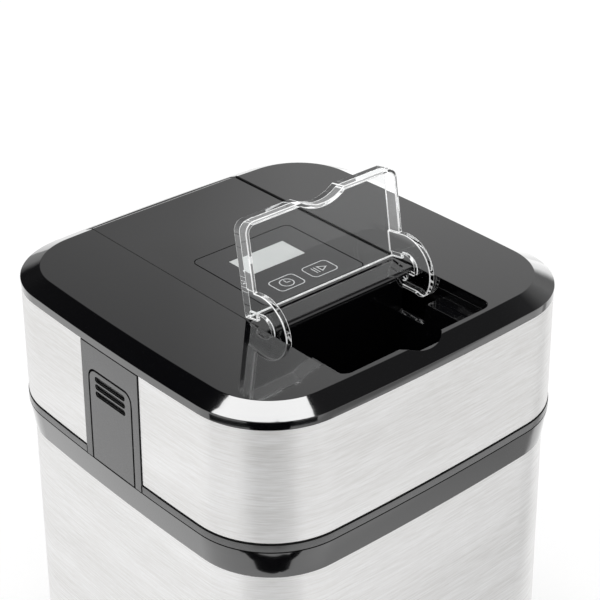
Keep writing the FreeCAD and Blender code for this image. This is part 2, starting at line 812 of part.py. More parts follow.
def control_fascia():
    body = new_body("control_fascia")
    side = sketch(body, "side", "YZ_Plane")
    level = "total_height - strip_sink"
    under = "total_height - strip_depth"
    edge = "half_width - bevel_run"
    polygon(side, [("-nose_front", under), ("-nose_front", level), (edge, level),
                   (edge + " + (strip_depth - strip_sink) * bevel_run / bevel_drop", under)])
    pad(side, "2 * (strip_half - snug)", both=True)
    round_edges(body, "nose_round", lambda edge: nose_edge(edge, level))
    recess = sketch(body, "recess", "XY_Plane", level)
    rounded_rectangle(recess, "-film_half", "film_half", "-film_front", "film_rear", "film_round")
    cut(recess, "film_thick")
    window = sketch(body, "window", "XY_Plane", level)
    rectangle(window, "-screen_half", "screen_half", "screen_front", "screen_rear")
    cut(window, "strip_depth")
    notches = sketch(body, "arm_notches", "XY_Plane", level)
    for side in ("", "-"):
        rectangle(notches, side + "(strip_half - 2 * flap_gap - arm_thick)", side + "strip_half",
                  "-nose_front", "nose_notch - nose_front")
    cut(notches, "strip_depth")
    posts = sketch(body, "posts", "XY_Plane", under)
    for y in ("post_inset - board_front", "board_rear - post_inset"):
        pair(posts, "board_half - post_inset", y, "post_radius")
    pad(posts, "board_drop - strip_depth", down=True)


def nose_edge(edge, level):
    box = edge.BoundBox
    return abs(box.YMax + number("nose_front")) < 1e-3 and abs(box.ZMin - number(level)) < 1e-3


def display_film():
    body = new_body("display_film")
    sheet_sketch = sketch(body, "outline", "XY_Plane", "total_height - strip_sink - film_thick")
    rounded_rectangle(sheet_sketch, "film_gap - film_half", "film_half - film_gap", "film_gap - film_front",
                      "film_rear - film_gap", "film_round - film_gap")
    pad(sheet_sketch, "film_thick")
    window = sketch(body, "window", "XY_Plane", "total_height - strip_sink")
    rectangle(window, "-screen_half", "screen_half", "screen_front", "screen_rear")
    cut(window, "film_thick")


def lcd_module():
    body = new_body("lcd_module")
    base_z = "total_height - board_drop"
    case = sketch(body, "case", "XY_Plane", base_z)
    rectangle(case, "-screen_half - module_margin", "screen_half + module_margin",
              "screen_front - module_margin", "screen_rear + module_margin")
    pad(case, "board_drop - module_drop")
    glass = sketch(body, "glass", "XY_Plane", base_z)
    rectangle(glass, "film_gap - screen_half", "screen_half - film_gap", "screen_front + film_gap",
              "screen_rear - film_gap")
    pad(glass, "board_drop - strip_sink - screen_sink")


def touch_pads():
    body = new_body("touch_pads")
    springs = sketch(body, "springs", "XY_Plane", "total_height - board_drop")
    pair(springs, "key_x", "-key_y", "pad_radius")
    pad(springs, "board_drop - strip_depth")


def control_board():
    body = new_body("control_board")
    board = sketch(body, "board", "XY_Plane", "total_height - board_drop")
    rectangle(board, "-board_half", "board_half", "-board_front", "board_rear")
    pad(board, "board_thick", down=True)
    parts = sketch(body, "parts", "XY_Plane", "total_height - board_drop - board_thick")
    rectangle(parts, "-board_half / 2", "0", "0", "board_rear / 3")
    rectangle(parts, "board_half / 4", "board_half / 2", "-board_front / 2", "board_rear / 2")
    pad(parts, "3 * board_thick", down=True)


# Fill chute: tray under the flap, wells for its arms, hopper to the bowl

def fill_chute():
    body = new_body("fill_chute")
    tray_low = "total_height - ledge_drop - chute_wall"
    wide = "strip_half + chute_wall"
    tray = sketch(body, "tray", "XY_Plane", tray_low)
    rounded_rectangle(tray, "-(%s)" % wide, wide, "-tray_front", "chute_wall - arm_well_rear",
                      "opening_round + chute_wall")
    pad(tray, "ledge_drop + chute_wall - top_wall")
    bulge = sketch(body, "bulge", "XY_Plane", tray_low)
    circle(bulge, "0", "scoop_y", "scoop_radius + chute_wall")
    pad(bulge, "ledge_drop + chute_wall - top_wall")
    wells = sketch(body, "wells", "XY_Plane", tray_low)
    for near, far in (("chute_half", wide), ("-(%s)" % wide, "-chute_half")):
        rectangle(wells, near, far, "-arm_well_front - chute_wall", "chute_wall - arm_well_rear")
    pad(wells, "arm_well_drop - ledge_drop", down=True)
    hopper_walls(body, tray_low)
    back = sketch(body, "back", "XY_Plane", tray_low)
    rectangle(back, "-chute_half - chute_wall", "chute_half + chute_wall", "-chute_back",
              "chute_wall - chute_back")
    pad(back, "ledge_drop + chute_wall - strip_depth")
    chute_openings(body)


def hopper_section(body, name, height, half, front, wall):
    section = sketch(body, name, "XY_Plane", height)
    rectangle(section, "-%s - %s" % (half, wall), "%s + %s" % (half, wall), "-%s - %s" % (front, wall),
              "%s - chute_back" % wall)
    return section


def hopper_walls(body, tray_low):
    high = hopper_section(body, "hopper_high", tray_low, "chute_half", "chute_front", "chute_wall")
    low = hopper_section(body, "hopper_low", "floor_z - spout_past", "spout_half", "spout_front",
                         "chute_wall")
    loft("AdditiveLoft", high, low)


def chute_openings(body):
    inside = sketch(body, "inside", "XY_Plane", "total_height - top_wall")
    rounded_rectangle(inside, "-strip_half", "strip_half", "-opening_front", "-chute_back", "opening_round")
    cut(inside, "ledge_drop - top_wall")
    behind = sketch(body, "behind", "XY_Plane", "total_height - top_wall")
    rectangle(behind, "-strip_half", "strip_half", "chute_wall - chute_back", "-arm_well_rear")
    cut(behind, "ledge_drop - top_wall")
    scoop = sketch(body, "scoop", "XY_Plane", "total_height - top_wall")
    circle(scoop, "0", "scoop_y", "scoop_radius")
    cut(scoop, "ledge_drop - top_wall")
    arms = sketch(body, "arms", "XY_Plane", "total_height - top_wall")
    for near, far in (("chute_half + chute_wall", "strip_half"), ("-strip_half", "-chute_half - chute_wall")):
        rectangle(arms, near, far, "-arm_well_front", "-arm_well_rear")
    cut(arms, "arm_well_drop - top_wall")
    sides = sketch(body, "side_cuts", "XY_Plane", "total_height - top_wall")
    rectangle(sides, "-strip_half", "strip_half", "-arm_well_front", "-chute_back")
    cut(sides, "well_side_cut - top_wall")
    high = hopper_section(body, "mouth_high", "total_height - ledge_drop", "chute_half", "chute_front", "0")
    low = hopper_section(body, "mouth_low", "floor_z - spout_past", "spout_half", "spout_front", "0")
    loft("SubtractiveLoft", high, low)
    pivots = sketch(body, "pivots", "YZ_Plane")
    circle(pivots, "-pivot_back", "pivot_z", "flap_pin + run_clear")
    cut(pivots, "4 * strip_half", both=True)


# Clear flap, drawn closed about its pivot and placed standing open

def flap_outline(sk, inset, rear):
    """Plan of the flap with a finger dip in its front edge."""
    half = number("strip_half - flap_gap") - inset
    front = number("flap_gap + pivot_back - opening_front") + inset
    r = number("flap_round") - inset
    dip_half, dip = number("scoop_half"), number("dip_deep")
    dip_radius = (dip_half ** 2 + dip ** 2) / (2 * dip)
    reach = dip_radius + inset
    centre = V(0, front - inset + dip - dip_radius, 0)
    edge = math.sqrt(reach ** 2 - (front - centre.y) ** 2)
    knee = math.degrees(math.asin(edge / reach))
    corner = V(half - r, front + r, 0)
    other = V(r - half, front + r, 0)
    items = [Part.LineSegment(V(-edge, front), V(r - half, front)), arc(other, r, 180, 270),
             Part.LineSegment(V(-half, front + r), V(-half, rear)),
             Part.LineSegment(V(-half, rear), V(half, rear)),
             Part.LineSegment(V(half, rear), V(half, front + r)), arc(corner, r, 270, 360),
             Part.LineSegment(V(half - r, front), V(edge, front)), arc(centre, reach, 90 - knee, 90 + knee)]
    sk.addGeometry(items)


def flap_arm(body):
    """Gooseneck arm: straight down from the plate, round under, and back up to the pivot eye."""
    arm = sketch(body, "arm", "YZ_Plane", "strip_half - flap_gap - arm_thick")
    outer, inner = number("arm_outer"), number("arm_inner")
    centre = V(-number("arm_centre_y"), -number("arm_centre_z"), 0)
    middle, cap = (outer + inner) / 2, (outer - inner) / 2
    end = 180 + number("arm_sweep")
    top = number("pivot_drop - flap_sink - flap_plate / 2")
    way = V(math.cos(math.radians(end)), math.sin(math.radians(end)), 0)
    left, right = centre.x - outer, centre.x - inner
    arm.addGeometry([
        Part.LineSegment(V(right, top), V(left, top)),
        Part.LineSegment(V(left, top), V(left, centre.y)),
        arc(centre, outer, 180, end),
        arc(centre + way * middle, cap, end, end + 180),
        arc(centre, inner, 180, end),
        Part.LineSegment(V(right, centre.y), V(right, top))])
    arm_pad = pad(arm, "arm_thick")
    eye = sketch(body, "eye", "YZ_Plane", "strip_half - flap_gap - arm_thick")
    radius = number("arm_eye")
    tail = centre + way * middle
    across = V(-tail.y, tail.x, 0).normalize() * radius
    lean = math.degrees(math.atan2(across.y, across.x))
    eye.addGeometry([
        arc(V(0, 0, 0), radius, lean, lean + 180), arc(tail, radius, lean - 180, lean),
        Part.LineSegment(across, tail + across), Part.LineSegment(tail - across, -across)])
    eye_pad = pad(eye, "arm_thick")
    stub = sketch(body, "stub", "YZ_Plane", "strip_half - flap_gap")
    circle(stub, "0", "0", "flap_pin")
    stub_pad = pad(stub, "flap_pin_length")
    return [arm_pad, eye_pad, stub_pad]


def flap_lid():
    body = new_body("flap_lid")
    rear = number("pivot_back - flap_rear")
    plate = sketch(body, "plate", "XY_Plane", "pivot_drop - flap_sink - flap_deep")
    flap_outline(plate, 0.0, rear)
    pad(plate, "flap_deep")
    hollow = sketch(body, "hollow", "XY_Plane", "pivot_drop - flap_sink - flap_deep")
    flap_outline(hollow, number("flap_rim"), rear + number("root"))
    cut(hollow, "flap_deep - flap_plate", up=True)
    mirror(body, flap_arm(body))
    bind(body, "Placement.Base.y", "-pivot_back")
    bind(body, "Placement.Base.z", "pivot_z")
    body.Placement.Rotation = FreeCAD.Rotation(V(1, 0, 0), -number("flap_open"))


# Drive train

def involute(base, radius):
    """Angle of an involute of a base circle where it crosses a radius, in radians."""
    if radius <= base:
        return 0.0
    roll = math.sqrt((radius / base) ** 2 - 1)
    return roll - math.atan(roll)


def polar(radius, angle):
    return V(radius * math.cos(angle), radius * math.sin(angle), 0)


def gear_shape(teeth, addendum, width, bore, first):
    """Spur gear on the upright axis, with the middle of a tooth at the first angle in degrees."""
    module = number("gear_module")
    pitch = module * teeth / 2
    base = pitch * math.cos(math.radians(number("pressure_angle")))
    tip, root = pitch + addendum * module, pitch - number("dedendum") * module
    start = max(base, root)
    half_tooth = (math.pi * module / 2 - number("gear_backlash") / 2) / (2 * pitch)
    spread = half_tooth + involute(base, pitch)
    edges = []
    step = 2 * math.pi / teeth
    for k in range(teeth):
        middle = math.radians(first) + k * step
        flank = [(r, spread - involute(base, r)) for r in (start, (start + tip) / 2, tip)]
        rise = [polar(r, middle - turn) for r, turn in flank]
        fall = [polar(r, middle + turn) for r, turn in reversed(flank)]
        low = flank[0][1]
        foot = [polar(root, middle - low), polar(root, middle + low)]
        if start > root:
            edges.append(Part.LineSegment(foot[0], rise[0]).toShape())
        edges.append(Part.Arc(*rise).toShape())
        edges.append(Part.Arc(rise[2], polar(tip, middle), fall[0]).toShape())
        edges.append(Part.Arc(*fall).toShape())
        if start > root:
            edges.append(Part.LineSegment(fall[2], foot[1]).toShape())
        gap = polar(root, middle + step / 2)
        edges.append(Part.Arc(foot[1], gap, polar(root, middle + step - low)).toShape())
    solid = Part.Face(Part.Wire(edges)).extrude(V(0, 0, width))
    return solid.cut(Part.makeCylinder(bore, width))


def gear_feature(label, shape, place):
    thing = doc.addObject("Part::Feature", label)
    thing.Label = label
    thing.Shape = shape
    thing.Placement = FreeCAD.Placement(place, FreeCAD.Rotation())


def output_shaft():
    body = new_body("output_shaft")
    side = sketch(body, "side", "XZ_Plane")
    gear_top = "slow_z + slow_width"
    polygon(side, [("0", "shaft_foot"), ("shaft_radius", "shaft_foot"), ("shaft_radius", "floor_top_z"),
                   ("shoulder_radius", "floor_top_z"), ("shoulder_radius", "slow_z"),
                   ("shaft_radius", "slow_z"), ("shaft_radius", gear_top), ("stub_radius", gear_top),
                   ("stub_radius", "box_z"), ("0", "box_z")])
    revolve(side)
    socket = sketch(body, "socket", "XY_Plane", "shaft_foot")
    half = "stem_side / 2 + stem_clear"
    rectangle(socket, "-(%s)" % half, half, "-(%s)" % half, half)
    cut(socket, "socket_deep", up=True)


def gear_train():
    slow, fast = number("slow_width"), number("fast_width")
    short, full = number("wheel_addendum"), number("pinion_addendum")
    bore = number("shaft_radius + press_gap")
    output = gear_shape(int(number("output_teeth")), short, slow, bore, 90)
    gear_feature("output_gear", output, V(0, 0, number("slow_z")))
    run = number("pin_radius + run_clear")
    gap = number("layer_gap")
    small_teeth = int(number("idler_small_teeth"))
    small = gear_shape(small_teeth, full, slow, run, -90 + 180 / small_teeth)
    collar = Part.makeCylinder(number("pin_radius + collar_wall"), gap).cut(Part.makeCylinder(run, gap))
    collar.translate(V(0, 0, slow))
    big = gear_shape(int(number("idler_big_teeth")), short, fast, run, 90)
    big.translate(V(0, 0, slow + gap))
    idler = small.fuse([collar, big]).removeSplitter()
    gear_feature("idler_gear", idler, V(0, number("idler_y"), number("slow_z")))
    pinion_teeth = int(number("pinion_teeth"))
    shaft = number("motor_shaft")
    pinion = gear_shape(pinion_teeth, full, fast, shaft, -90 + 180 / pinion_teeth)
    length = number("box_z - fast_z + shaft_in_motor")
    pinion = pinion.fuse(Part.makeCylinder(shaft, length)).removeSplitter()
    gear_feature("motor_pinion", pinion, V(0, number("motor_y"), number("fast_z")))


def gear_cover():
    body = new_body("gear_cover")
    rear = "motor_y + box_half / 2"
    shell = sketch(body, "shell", "XY_Plane", "floor_top_z")
    rounded_rectangle(shell, "-box_half", "box_half", "-box_half", rear, "box_round")
    pad(shell, "box_height")
    hollow = sketch(body, "hollow", "XY_Plane", "floor_top_z")
    rounded_rectangle(hollow, "box_wall - box_half", "box_half - box_wall", "box_wall - box_half",
                      rear + " - box_wall", "box_round - box_wall")
    cut(hollow, "box_height - box_wall", up=True)
    bosses = sketch(body, "bosses", "XY_Plane", "floor_top_z")
    pair(bosses, "motor_ear", "motor_y", "ear_radius")
    pad(bosses, "box_height")
    inner = sketch(body, "inner", "XY_Plane", "floor_top_z")
    rectangle(inner, "box_wall - box_half", "box_half - box_wall", "motor_y - ear_radius",
              "motor_y + ear_radius")
    cut(inner, "box_height - box_wall", up=True)
    pilots = sketch(body, "pilots", "XY_Plane", "box_z")
    pair(pilots, "motor_ear", "motor_y", "screw_radius + screw_clear")
    cut(pilots, "screw_length")
    holes = sketch(body, "holes", "XY_Plane", "box_z")
    circle(holes, "0", "0", "stub_radius + run_clear")
    circle(holes, "0", "idler_y", "pin_radius")
    circle(holes, "0", "motor_y", "2 * motor_shaft")
    cut(holes, "box_wall")


def idler_pin():
    body = new_body("idler_pin")
    pin_sketch = sketch(body, "pin", "XY_Plane", "floor_z")
    circle(pin_sketch, "0", "idler_y", "pin_radius")
    pad(pin_sketch, "box_z - floor_z")
    spacer = sketch(body, "spacer", "XY_Plane", "floor_top_z")
    circle(spacer, "0", "idler_y", "2 * pin_radius")
    pad(spacer, "gear_lift")


def drive_motor():
    body = new_body("drive_motor")
    can = sketch(body, "can", "XY_Plane", "box_z")
    circle(can, "0", "motor_y", "motor_radius")
    pad(can, "motor_height")
    ears = sketch(body, "ears", "XY_Plane", "box_z")
    rounded_rectangle(ears, "-motor_ear - ear_radius", "motor_ear + ear_radius", "motor_y - ear_radius",
                      "motor_y + ear_radius", "ear_radius - press_gap")
    pad(ears, "ear_thick")
    holes = sketch(body, "ear_holes", "XY_Plane", "box_z")
    pair(holes, "motor_ear", "motor_y", "screw_radius + screw_clear")
    cut(holes, "ear_thick", up=True)
    bore = sketch(body, "bore", "XY_Plane", "box_z")
    circle(bore, "0", "motor_y", "motor_shaft + run_clear")
    cut(bore, "shaft_in_motor + snug", up=True)


def motor_screws():
    body = new_body("motor_screws")
    seat = "box_z + ear_thick"
    heads = sketch(body, "heads", "XY_Plane", seat)
    pair(heads, "motor_ear", "motor_y", "screw_head_radius")
    pad(heads, "screw_head")
    shanks = sketch(body, "shanks", "XY_Plane", seat)
    pair(shanks, "motor_ear", "motor_y", "screw_radius")
    pad(shanks, "screw_length", down=True)


def power_board():
    body = new_body("power_board")
    stands = sketch(body, "stands", "XY_Plane", "floor_top_z")
    for x in ("-power_left + 2 * post_inset", "-power_right - 2 * post_inset"):
        for y in ("power_front + post_inset", "power_rear - post_inset"):
            circle(stands, x, y, "post_radius")
    pad(stands, "power_stand")
    board = sketch(body, "board", "XY_Plane", "floor_top_z + power_stand")
    rectangle(board, "-power_left", "-power_right", "power_front", "power_rear")
    pad(board, "board_thick")
    parts = sketch(body, "parts", "XY_Plane", "floor_top_z + power_stand + board_thick")
    rectangle(parts, "-power_left + post_inset", "-(power_left + power_right) / 2",
              "power_front + post_inset", "power_front + 2 * power_part")
    rectangle(parts, "-power_right - power_part", "-power_right - post_inset", "power_rear - power_part",
              "power_rear - post_inset")
    pad(parts, "power_part")


def cord_gland():
    body = new_body("cord_gland")
    middle = "half_width + (gland_drop - bevel_drop) * tan(flare) - band_inset"
    face = middle + " - (gland_x - gland_flange)^2 / (2 * bow_radius) + gland_flange * tan(flare)"
    x, z = "-gland_x", "total_height - gland_drop"
    flange = sketch(body, "flange", "XZ_Plane", "-(%s)" % face)
    circle(flange, x, z, "gland_flange")
    pad(flange, "gland_proud", down=True)
    barrel = sketch(body, "barrel", "XZ_Plane", "-(%s)" % face)
    circle(barrel, x, z, "gland_radius")
    pad(barrel, "gland_length")
    bore = sketch(body, "bore", "XZ_Plane", "-(%s) - gland_proud" % face)
    circle(bore, x, z, "gland_bore")
    cut(bore, "gland_length + gland_proud", up=True)


# Side latches

def latch_profile(sk):
    """Rocker seen from the front: plate, knuckle, leg through the seam and barb."""
    def face(height):
        return "half_width + (total_height - (%s) - bevel_drop) * tan(flare)" % height

    def back(height):
        return face(height) + " - latch_wall"

    top = "total_height - latch_top"
    knuckle_high, knuckle_low = "latch_z + knuckle", "latch_z - knuckle"
    shelf_high, shelf_low = "floor_z", "floor_z - latch_wall"
    inner = "latch_x - latch_pin - root"
    foot = "seam_z - leg_below"
    polygon(sk, [(face("latch_foot_z"), "latch_foot_z"), (face(top), top), (back(top), top),
                 (back(knuckle_high), knuckle_high), (inner, knuckle_high), (inner, knuckle_low),
                 (back(knuckle_low), knuckle_low), (back(shelf_high), shelf_high), ("leg_back", shelf_high),
                 ("leg_back", foot + " + 2 * barb"), ("barb_tip", foot + " + 2 * barb"),
                 ("barb_tip", foot + " + barb"), ("leg_back", foot), ("leg_face", foot),
                 ("leg_face", shelf_low), (back(shelf_low), shelf_low),
                 (back("latch_foot_z"), "latch_foot_z")])


def latch(label, turn):
    body = new_body(label)
    side = sketch(body, "side", "XZ_Plane")
    latch_profile(side)
    pad(side, "2 * latch_half", both=True)
    top = "total_height - latch_top"
    round_edges(body, "latch_round", lambda edge: top_corner(edge, top))
    grips = sketch(body, "grips", "YZ_Plane", "half_width + latch_wall")
    for k in range(3):
        middle = "total_height - grip_first - %d * grip_step" % k
        rounded_rectangle(grips, "-grip_half", "grip_half", middle + " - grip_tall / 2",
                          middle + " + grip_tall / 2", "grip_tall / 2 - press_gap")
    cut(grips, "latch_wall + grip_deep - (grip_first - bevel_drop) * tan(flare)")
    hole = sketch(body, "hole", "XZ_Plane")
    circle(hole, "latch_x", "latch_z", "latch_pin + run_clear")
    cut(hole, "3 * latch_half", both=True)
    body.Placement.Rotation = FreeCAD.Rotation(V(0, 0, 1), turn)


def top_corner(edge, top):
    box = edge.BoundBox
    level = abs(box.ZMin - number(top)) + abs(box.ZMax - number(top)) < 1e-3
    return level and box.XLength > 1 and box.YLength < 1e-3


def latch_pins():
    body = new_body("latch_pins")
    rods = sketch(body, "rods", "XZ_Plane")
    pair(rods, "latch_x", "latch_z", "latch_pin")
    pad(rods, "2 * latch_pin_half", both=True)


def latch_spring(label, turn):
    """Leaf spring leaning from the frame's cross bar to the back of the latch."""
    body = new_body(label)
    leaf = sketch(body, "leaf", "XZ_Plane")
    high, low = "total_height - bar_top - leaf_margin", "total_height - bar_low + leaf_margin"
    tip = "half_width + (bar_top - bevel_drop) * tan(flare) - latch_wall - snug"
    polygon(leaf, [("bar_x", low), ("bar_x + leaf_thick", low), (tip, high + " - leaf_thick"), (tip, high),
                   (tip + " - leaf_thick", high), ("bar_x", low + " + leaf_margin")])
    pad(leaf, "2 * leaf_half", both=True)
    body.Placement.Rotation = FreeCAD.Rotation(V(0, 0, 1), turn)


def build():
    fill_sheet()
    base_pan()
    rubber_feet()
    screw_set("base_screws", "boss_place", "foot_height")
    housing_wrap()
    bowl_well()
    rim_ring()
    freezer_bowl()
    mixing_paddle()
    head_frame()
    steel_band("front_band", "-")
    steel_band("rear_band", "")
    top_cover()
    head_floor()
    bowl_gasket()
    screw_set("floor_screws", "screw_place", "floor_z")
    control_fascia()
    display_film()
    lcd_module()
    touch_pads()
    control_board()
    fill_chute()
    flap_lid()
    output_shaft()
    gear_train()
    gear_cover()
    idler_pin()
    drive_motor()
    motor_screws()
    power_board()
    cord_gland()
    for side, turn in (("right", 0), ("left", 180)):
        latch("latch_" + side, turn)
        latch_spring("latch_spring_" + side, turn)
    latch_pins()
    doc.recompute()


def check_and_write():
    for thing in doc.Objects:
        if "Invalid" in thing.State or "Error" in thing.State:
            raise RuntimeError("failed: " + thing.Name)
        if thing.TypeId == "PartDesign::Pocket":
            if thing.Shape.Volume > thing.BaseFeature.Shape.Volume - 1e-3:
                raise RuntimeError("cuts nothing: " + thing.Name)
    pieces = [thing for thing in doc.Objects if thing.TypeId in ("PartDesign::Body", "Part::Feature")]
    for piece in pieces:
        if piece.Shape.isNull() or not piece.Shape.isValid():
            raise RuntimeError("bad shape: " + piece.Label)
    os.makedirs("parts", exist_ok=True)
    for piece in pieces:
        piece.Shape.exportStep("parts/%s.step" % piece.Label)
        print(piece.Label, len(piece.Shape.Solids), round(piece.Shape.Volume, 1))


build()
check_and_write()
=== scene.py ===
import bpy
import math
from mathutils import Matrix, Vector


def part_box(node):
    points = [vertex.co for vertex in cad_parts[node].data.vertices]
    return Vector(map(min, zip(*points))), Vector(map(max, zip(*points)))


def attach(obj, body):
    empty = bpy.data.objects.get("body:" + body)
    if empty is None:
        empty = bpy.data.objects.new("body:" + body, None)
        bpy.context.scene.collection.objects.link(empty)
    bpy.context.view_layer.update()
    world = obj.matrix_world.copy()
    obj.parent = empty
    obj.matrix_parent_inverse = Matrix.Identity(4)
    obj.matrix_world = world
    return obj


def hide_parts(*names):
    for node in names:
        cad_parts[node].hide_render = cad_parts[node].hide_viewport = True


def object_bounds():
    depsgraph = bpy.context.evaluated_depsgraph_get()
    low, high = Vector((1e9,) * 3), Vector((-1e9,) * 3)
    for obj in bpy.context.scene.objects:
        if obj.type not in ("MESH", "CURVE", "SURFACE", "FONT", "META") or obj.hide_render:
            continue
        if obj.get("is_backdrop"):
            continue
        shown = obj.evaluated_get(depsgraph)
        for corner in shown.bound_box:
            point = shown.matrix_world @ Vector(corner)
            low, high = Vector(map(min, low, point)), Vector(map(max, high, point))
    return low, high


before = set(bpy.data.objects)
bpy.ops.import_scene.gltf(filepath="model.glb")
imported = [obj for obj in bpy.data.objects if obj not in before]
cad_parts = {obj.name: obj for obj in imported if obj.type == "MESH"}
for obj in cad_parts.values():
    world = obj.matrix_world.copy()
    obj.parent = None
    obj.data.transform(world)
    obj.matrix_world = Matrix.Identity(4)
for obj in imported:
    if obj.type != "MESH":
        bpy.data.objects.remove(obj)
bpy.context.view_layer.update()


# Base pan: the shallow black tray that closes the body from below.
# Injection-moulded ABS with a spark-eroded grain, clipped into the wrap and screwed to the well.

MM = 0.001


def linear(colour):
    """Turn an sRGB hex colour to the linear values that a shader takes."""
    parts = [int(colour[i:i + 2], 16) / 255 for i in (0, 2, 4)]
    return [p / 12.92 if p <= 0.04045 else ((p + 0.055) / 1.055) ** 2.4 for p in parts] + [1.0]


def new_material(name, values):
    """Start a material; values are the shader's sockets that are the same all over."""
    material = bpy.data.materials.new(name)
    material.use_nodes = True
    shader = material.node_tree.nodes["Principled BSDF"]
    for socket, value in values.items():
        shader.inputs[socket].default_value = value
    return material, material.node_tree, shader


def add_node(tree, kind, inputs=None, **settings):
    """Add a node with its settings, and set or link its inputs."""
    made = tree.nodes.new(kind)
    for name, value in settings.items():
        setattr(made, name, value)
    for name, value in (inputs or {}).items():
        if isinstance(value, bpy.types.NodeSocket):
            tree.links.new(value, made.inputs[name])
        else:
            made.inputs[name].default_value = value
    return made


def finish(material, *nodes):
    """Give CAD nodes that keep their own shape a material."""
    for node in nodes:
        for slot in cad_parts[node].material_slots:
            slot.material = material


# The eye gets a soft, even black with a faint sparkle of grain and no clear reflection.
grained_abs, tree, shader = new_material("grained_abs", {"IOR": 1.53})
place = add_node(tree, "ShaderNodeTexCoord").outputs["Object"]
grain = add_node(tree, "ShaderNodeTexNoise", {"Vector": place, "Scale": 1 / (0.7 * MM),
                                              "Detail": 3.0})
cloud = add_node(tree, "ShaderNodeTexNoise", {"Vector": place, "Scale": 1 / (25 * MM),
                                              "Detail": 2.0})
dull = add_node(tree, "ShaderNodeMapRange", {"Value": grain.outputs["Fac"], "To Min": 0.45,
                                             "To Max": 0.62})
relief = add_node(tree, "ShaderNodeBump", {"Height": grain.outputs["Fac"], "Strength": 0.25,
                                           "Distance": 0.06 * MM})
shade = add_node(tree, "ShaderNodeMix", {0: cloud.outputs["Fac"], 6: linear("111112"),
                                         7: linear("232324")}, data_type="RGBA")
tree.links.new(shade.outputs[2], shader.inputs["Base Color"])
tree.links.new(dull.outputs["Result"], shader.inputs["Roughness"])
tree.links.new(relief.outputs["Normal"], shader.inputs["Normal"])
finish(grained_abs, "base_pan")


# Rubber feet: four soft pads that carry the machine.
# Compression-moulded black rubber, pushed into the pan from below.

# The eye gets a dead matte surface, greyer where it has been handled.
moulded_rubber, tree, shader = new_material("moulded_rubber",
                                            {"IOR": 1.5, "Specular IOR Level": 0.3})
place = add_node(tree, "ShaderNodeTexCoord").outputs["Object"]
bloom = add_node(tree, "ShaderNodeTexNoise", {"Vector": place, "Scale": 1 / (5 * MM),
                                              "Detail": 4.0})
dull = add_node(tree, "ShaderNodeMapRange", {"Value": bloom.outputs["Fac"], "To Min": 0.7,
                                             "To Max": 0.9})
relief = add_node(tree, "ShaderNodeBump", {"Height": bloom.outputs["Fac"], "Strength": 0.2,
                                           "Distance": 0.1 * MM})
shade = add_node(tree, "ShaderNodeMix", {0: bloom.outputs["Fac"], 6: linear("131313"),
                                         7: linear("2d2d2d")}, data_type="RGBA")
tree.links.new(shade.outputs[2], shader.inputs["Base Color"])
tree.links.new(dull.outputs["Result"], shader.inputs["Roughness"])
tree.links.new(relief.outputs["Normal"], shader.inputs["Normal"])
finish(moulded_rubber, "rubber_feet")


# Base screws: four pan-head screws that draw the pan up to the bowl well.
# Zinc-plated steel, cold headed, sunk in the pan's counterbores.

# The eye gets a grey metal with a slightly cloudy plating.
zinc_plate, tree, shader = new_material("zinc_plated_steel", {"Metallic": 1.0})
place = add_node(tree, "ShaderNodeTexCoord").outputs["Object"]
cloud = add_node(tree, "ShaderNodeTexNoise", {"Vector": place, "Scale": 1 / (2 * MM),
                                              "Detail": 3.0})
dull = add_node(tree, "ShaderNodeMapRange", {"Value": cloud.outputs["Fac"], "To Min": 0.28,
                                             "To Max": 0.45})
shade = add_node(tree, "ShaderNodeMix", {0: cloud.outputs["Fac"], 6: linear("9a9d9f"),
                                         7: linear("d1d1d2")}, data_type="RGBA")
tree.links.new(shade.outputs[2], shader.inputs["Base Color"])
tree.links.new(dull.outputs["Result"], shader.inputs["Roughness"])
finish(zinc_plate, "base_screws")


# Housing wrap: the steel skin of the lower body, one strip bent round the four corners.
# Brushed stainless steel sheet, 0.8 mm, held between the pan and the rim ring.

# The eye gets a bright metal with fine level scratches that smear reflections up and down.
# The real lines are about 0.1 mm apart, too fine to show here, so they are drawn 0.7 mm apart.
brushed_steel, tree, shader = new_material("brushed_stainless_steel",
                                           {"Metallic": 1.0, "Anisotropic": 0.75,
                                            "Anisotropic Rotation": 0.25})
place = add_node(tree, "ShaderNodeTexCoord").outputs["Object"]
SCRATCH_LONG, SCRATCH_APART = 14 * MM, 0.7 * MM
along = (1 / SCRATCH_LONG, 1 / SCRATCH_LONG, 1 / SCRATCH_APART)
stroke = add_node(tree, "ShaderNodeMapping", {"Vector": place, "Scale": along})
lines = add_node(tree, "ShaderNodeTexNoise", {"Vector": stroke.outputs["Vector"], "Scale": 1.0,
                                              "Detail": 3.0, "Roughness": 0.6})
SWEEP_LONG, SWEEP_APART = 140 * MM, 25 * MM
broad = (1 / SWEEP_LONG, 1 / SWEEP_LONG, 1 / SWEEP_APART)
sweep = add_node(tree, "ShaderNodeMapping", {"Vector": place, "Scale": broad})
cloud = add_node(tree, "ShaderNodeTexNoise", {"Vector": sweep.outputs["Vector"], "Scale": 1.0,
                                              "Detail": 2.0})
mixed = add_node(tree, "ShaderNodeMath", {0: cloud.outputs["Fac"], 1: 0.4, 2: lines.outputs["Fac"]},
                 operation="MULTIPLY_ADD")
streak = add_node(tree, "ShaderNodeMapRange", {"Value": mixed.outputs["Value"], "From Min": 0.46,
                                               "From Max": 0.94})
dull = add_node(tree, "ShaderNodeMapRange", {"Value": lines.outputs["Fac"], "From Min": 0.3,
                                             "From Max": 0.7, "To Min": 0.3, "To Max": 0.4})
relief = add_node(tree, "ShaderNodeBump", {"Height": lines.outputs["Fac"], "Strength": 0.3,
                                           "Distance": 0.02 * MM})
level = add_node(tree, "ShaderNodeTangent", direction_type="RADIAL", axis="Z")
shade = add_node(tree, "ShaderNodeMix", {0: streak.outputs["Result"], 6: linear("e3e2e0"),
                                         7: linear("ffffff")}, data_type="RGBA")
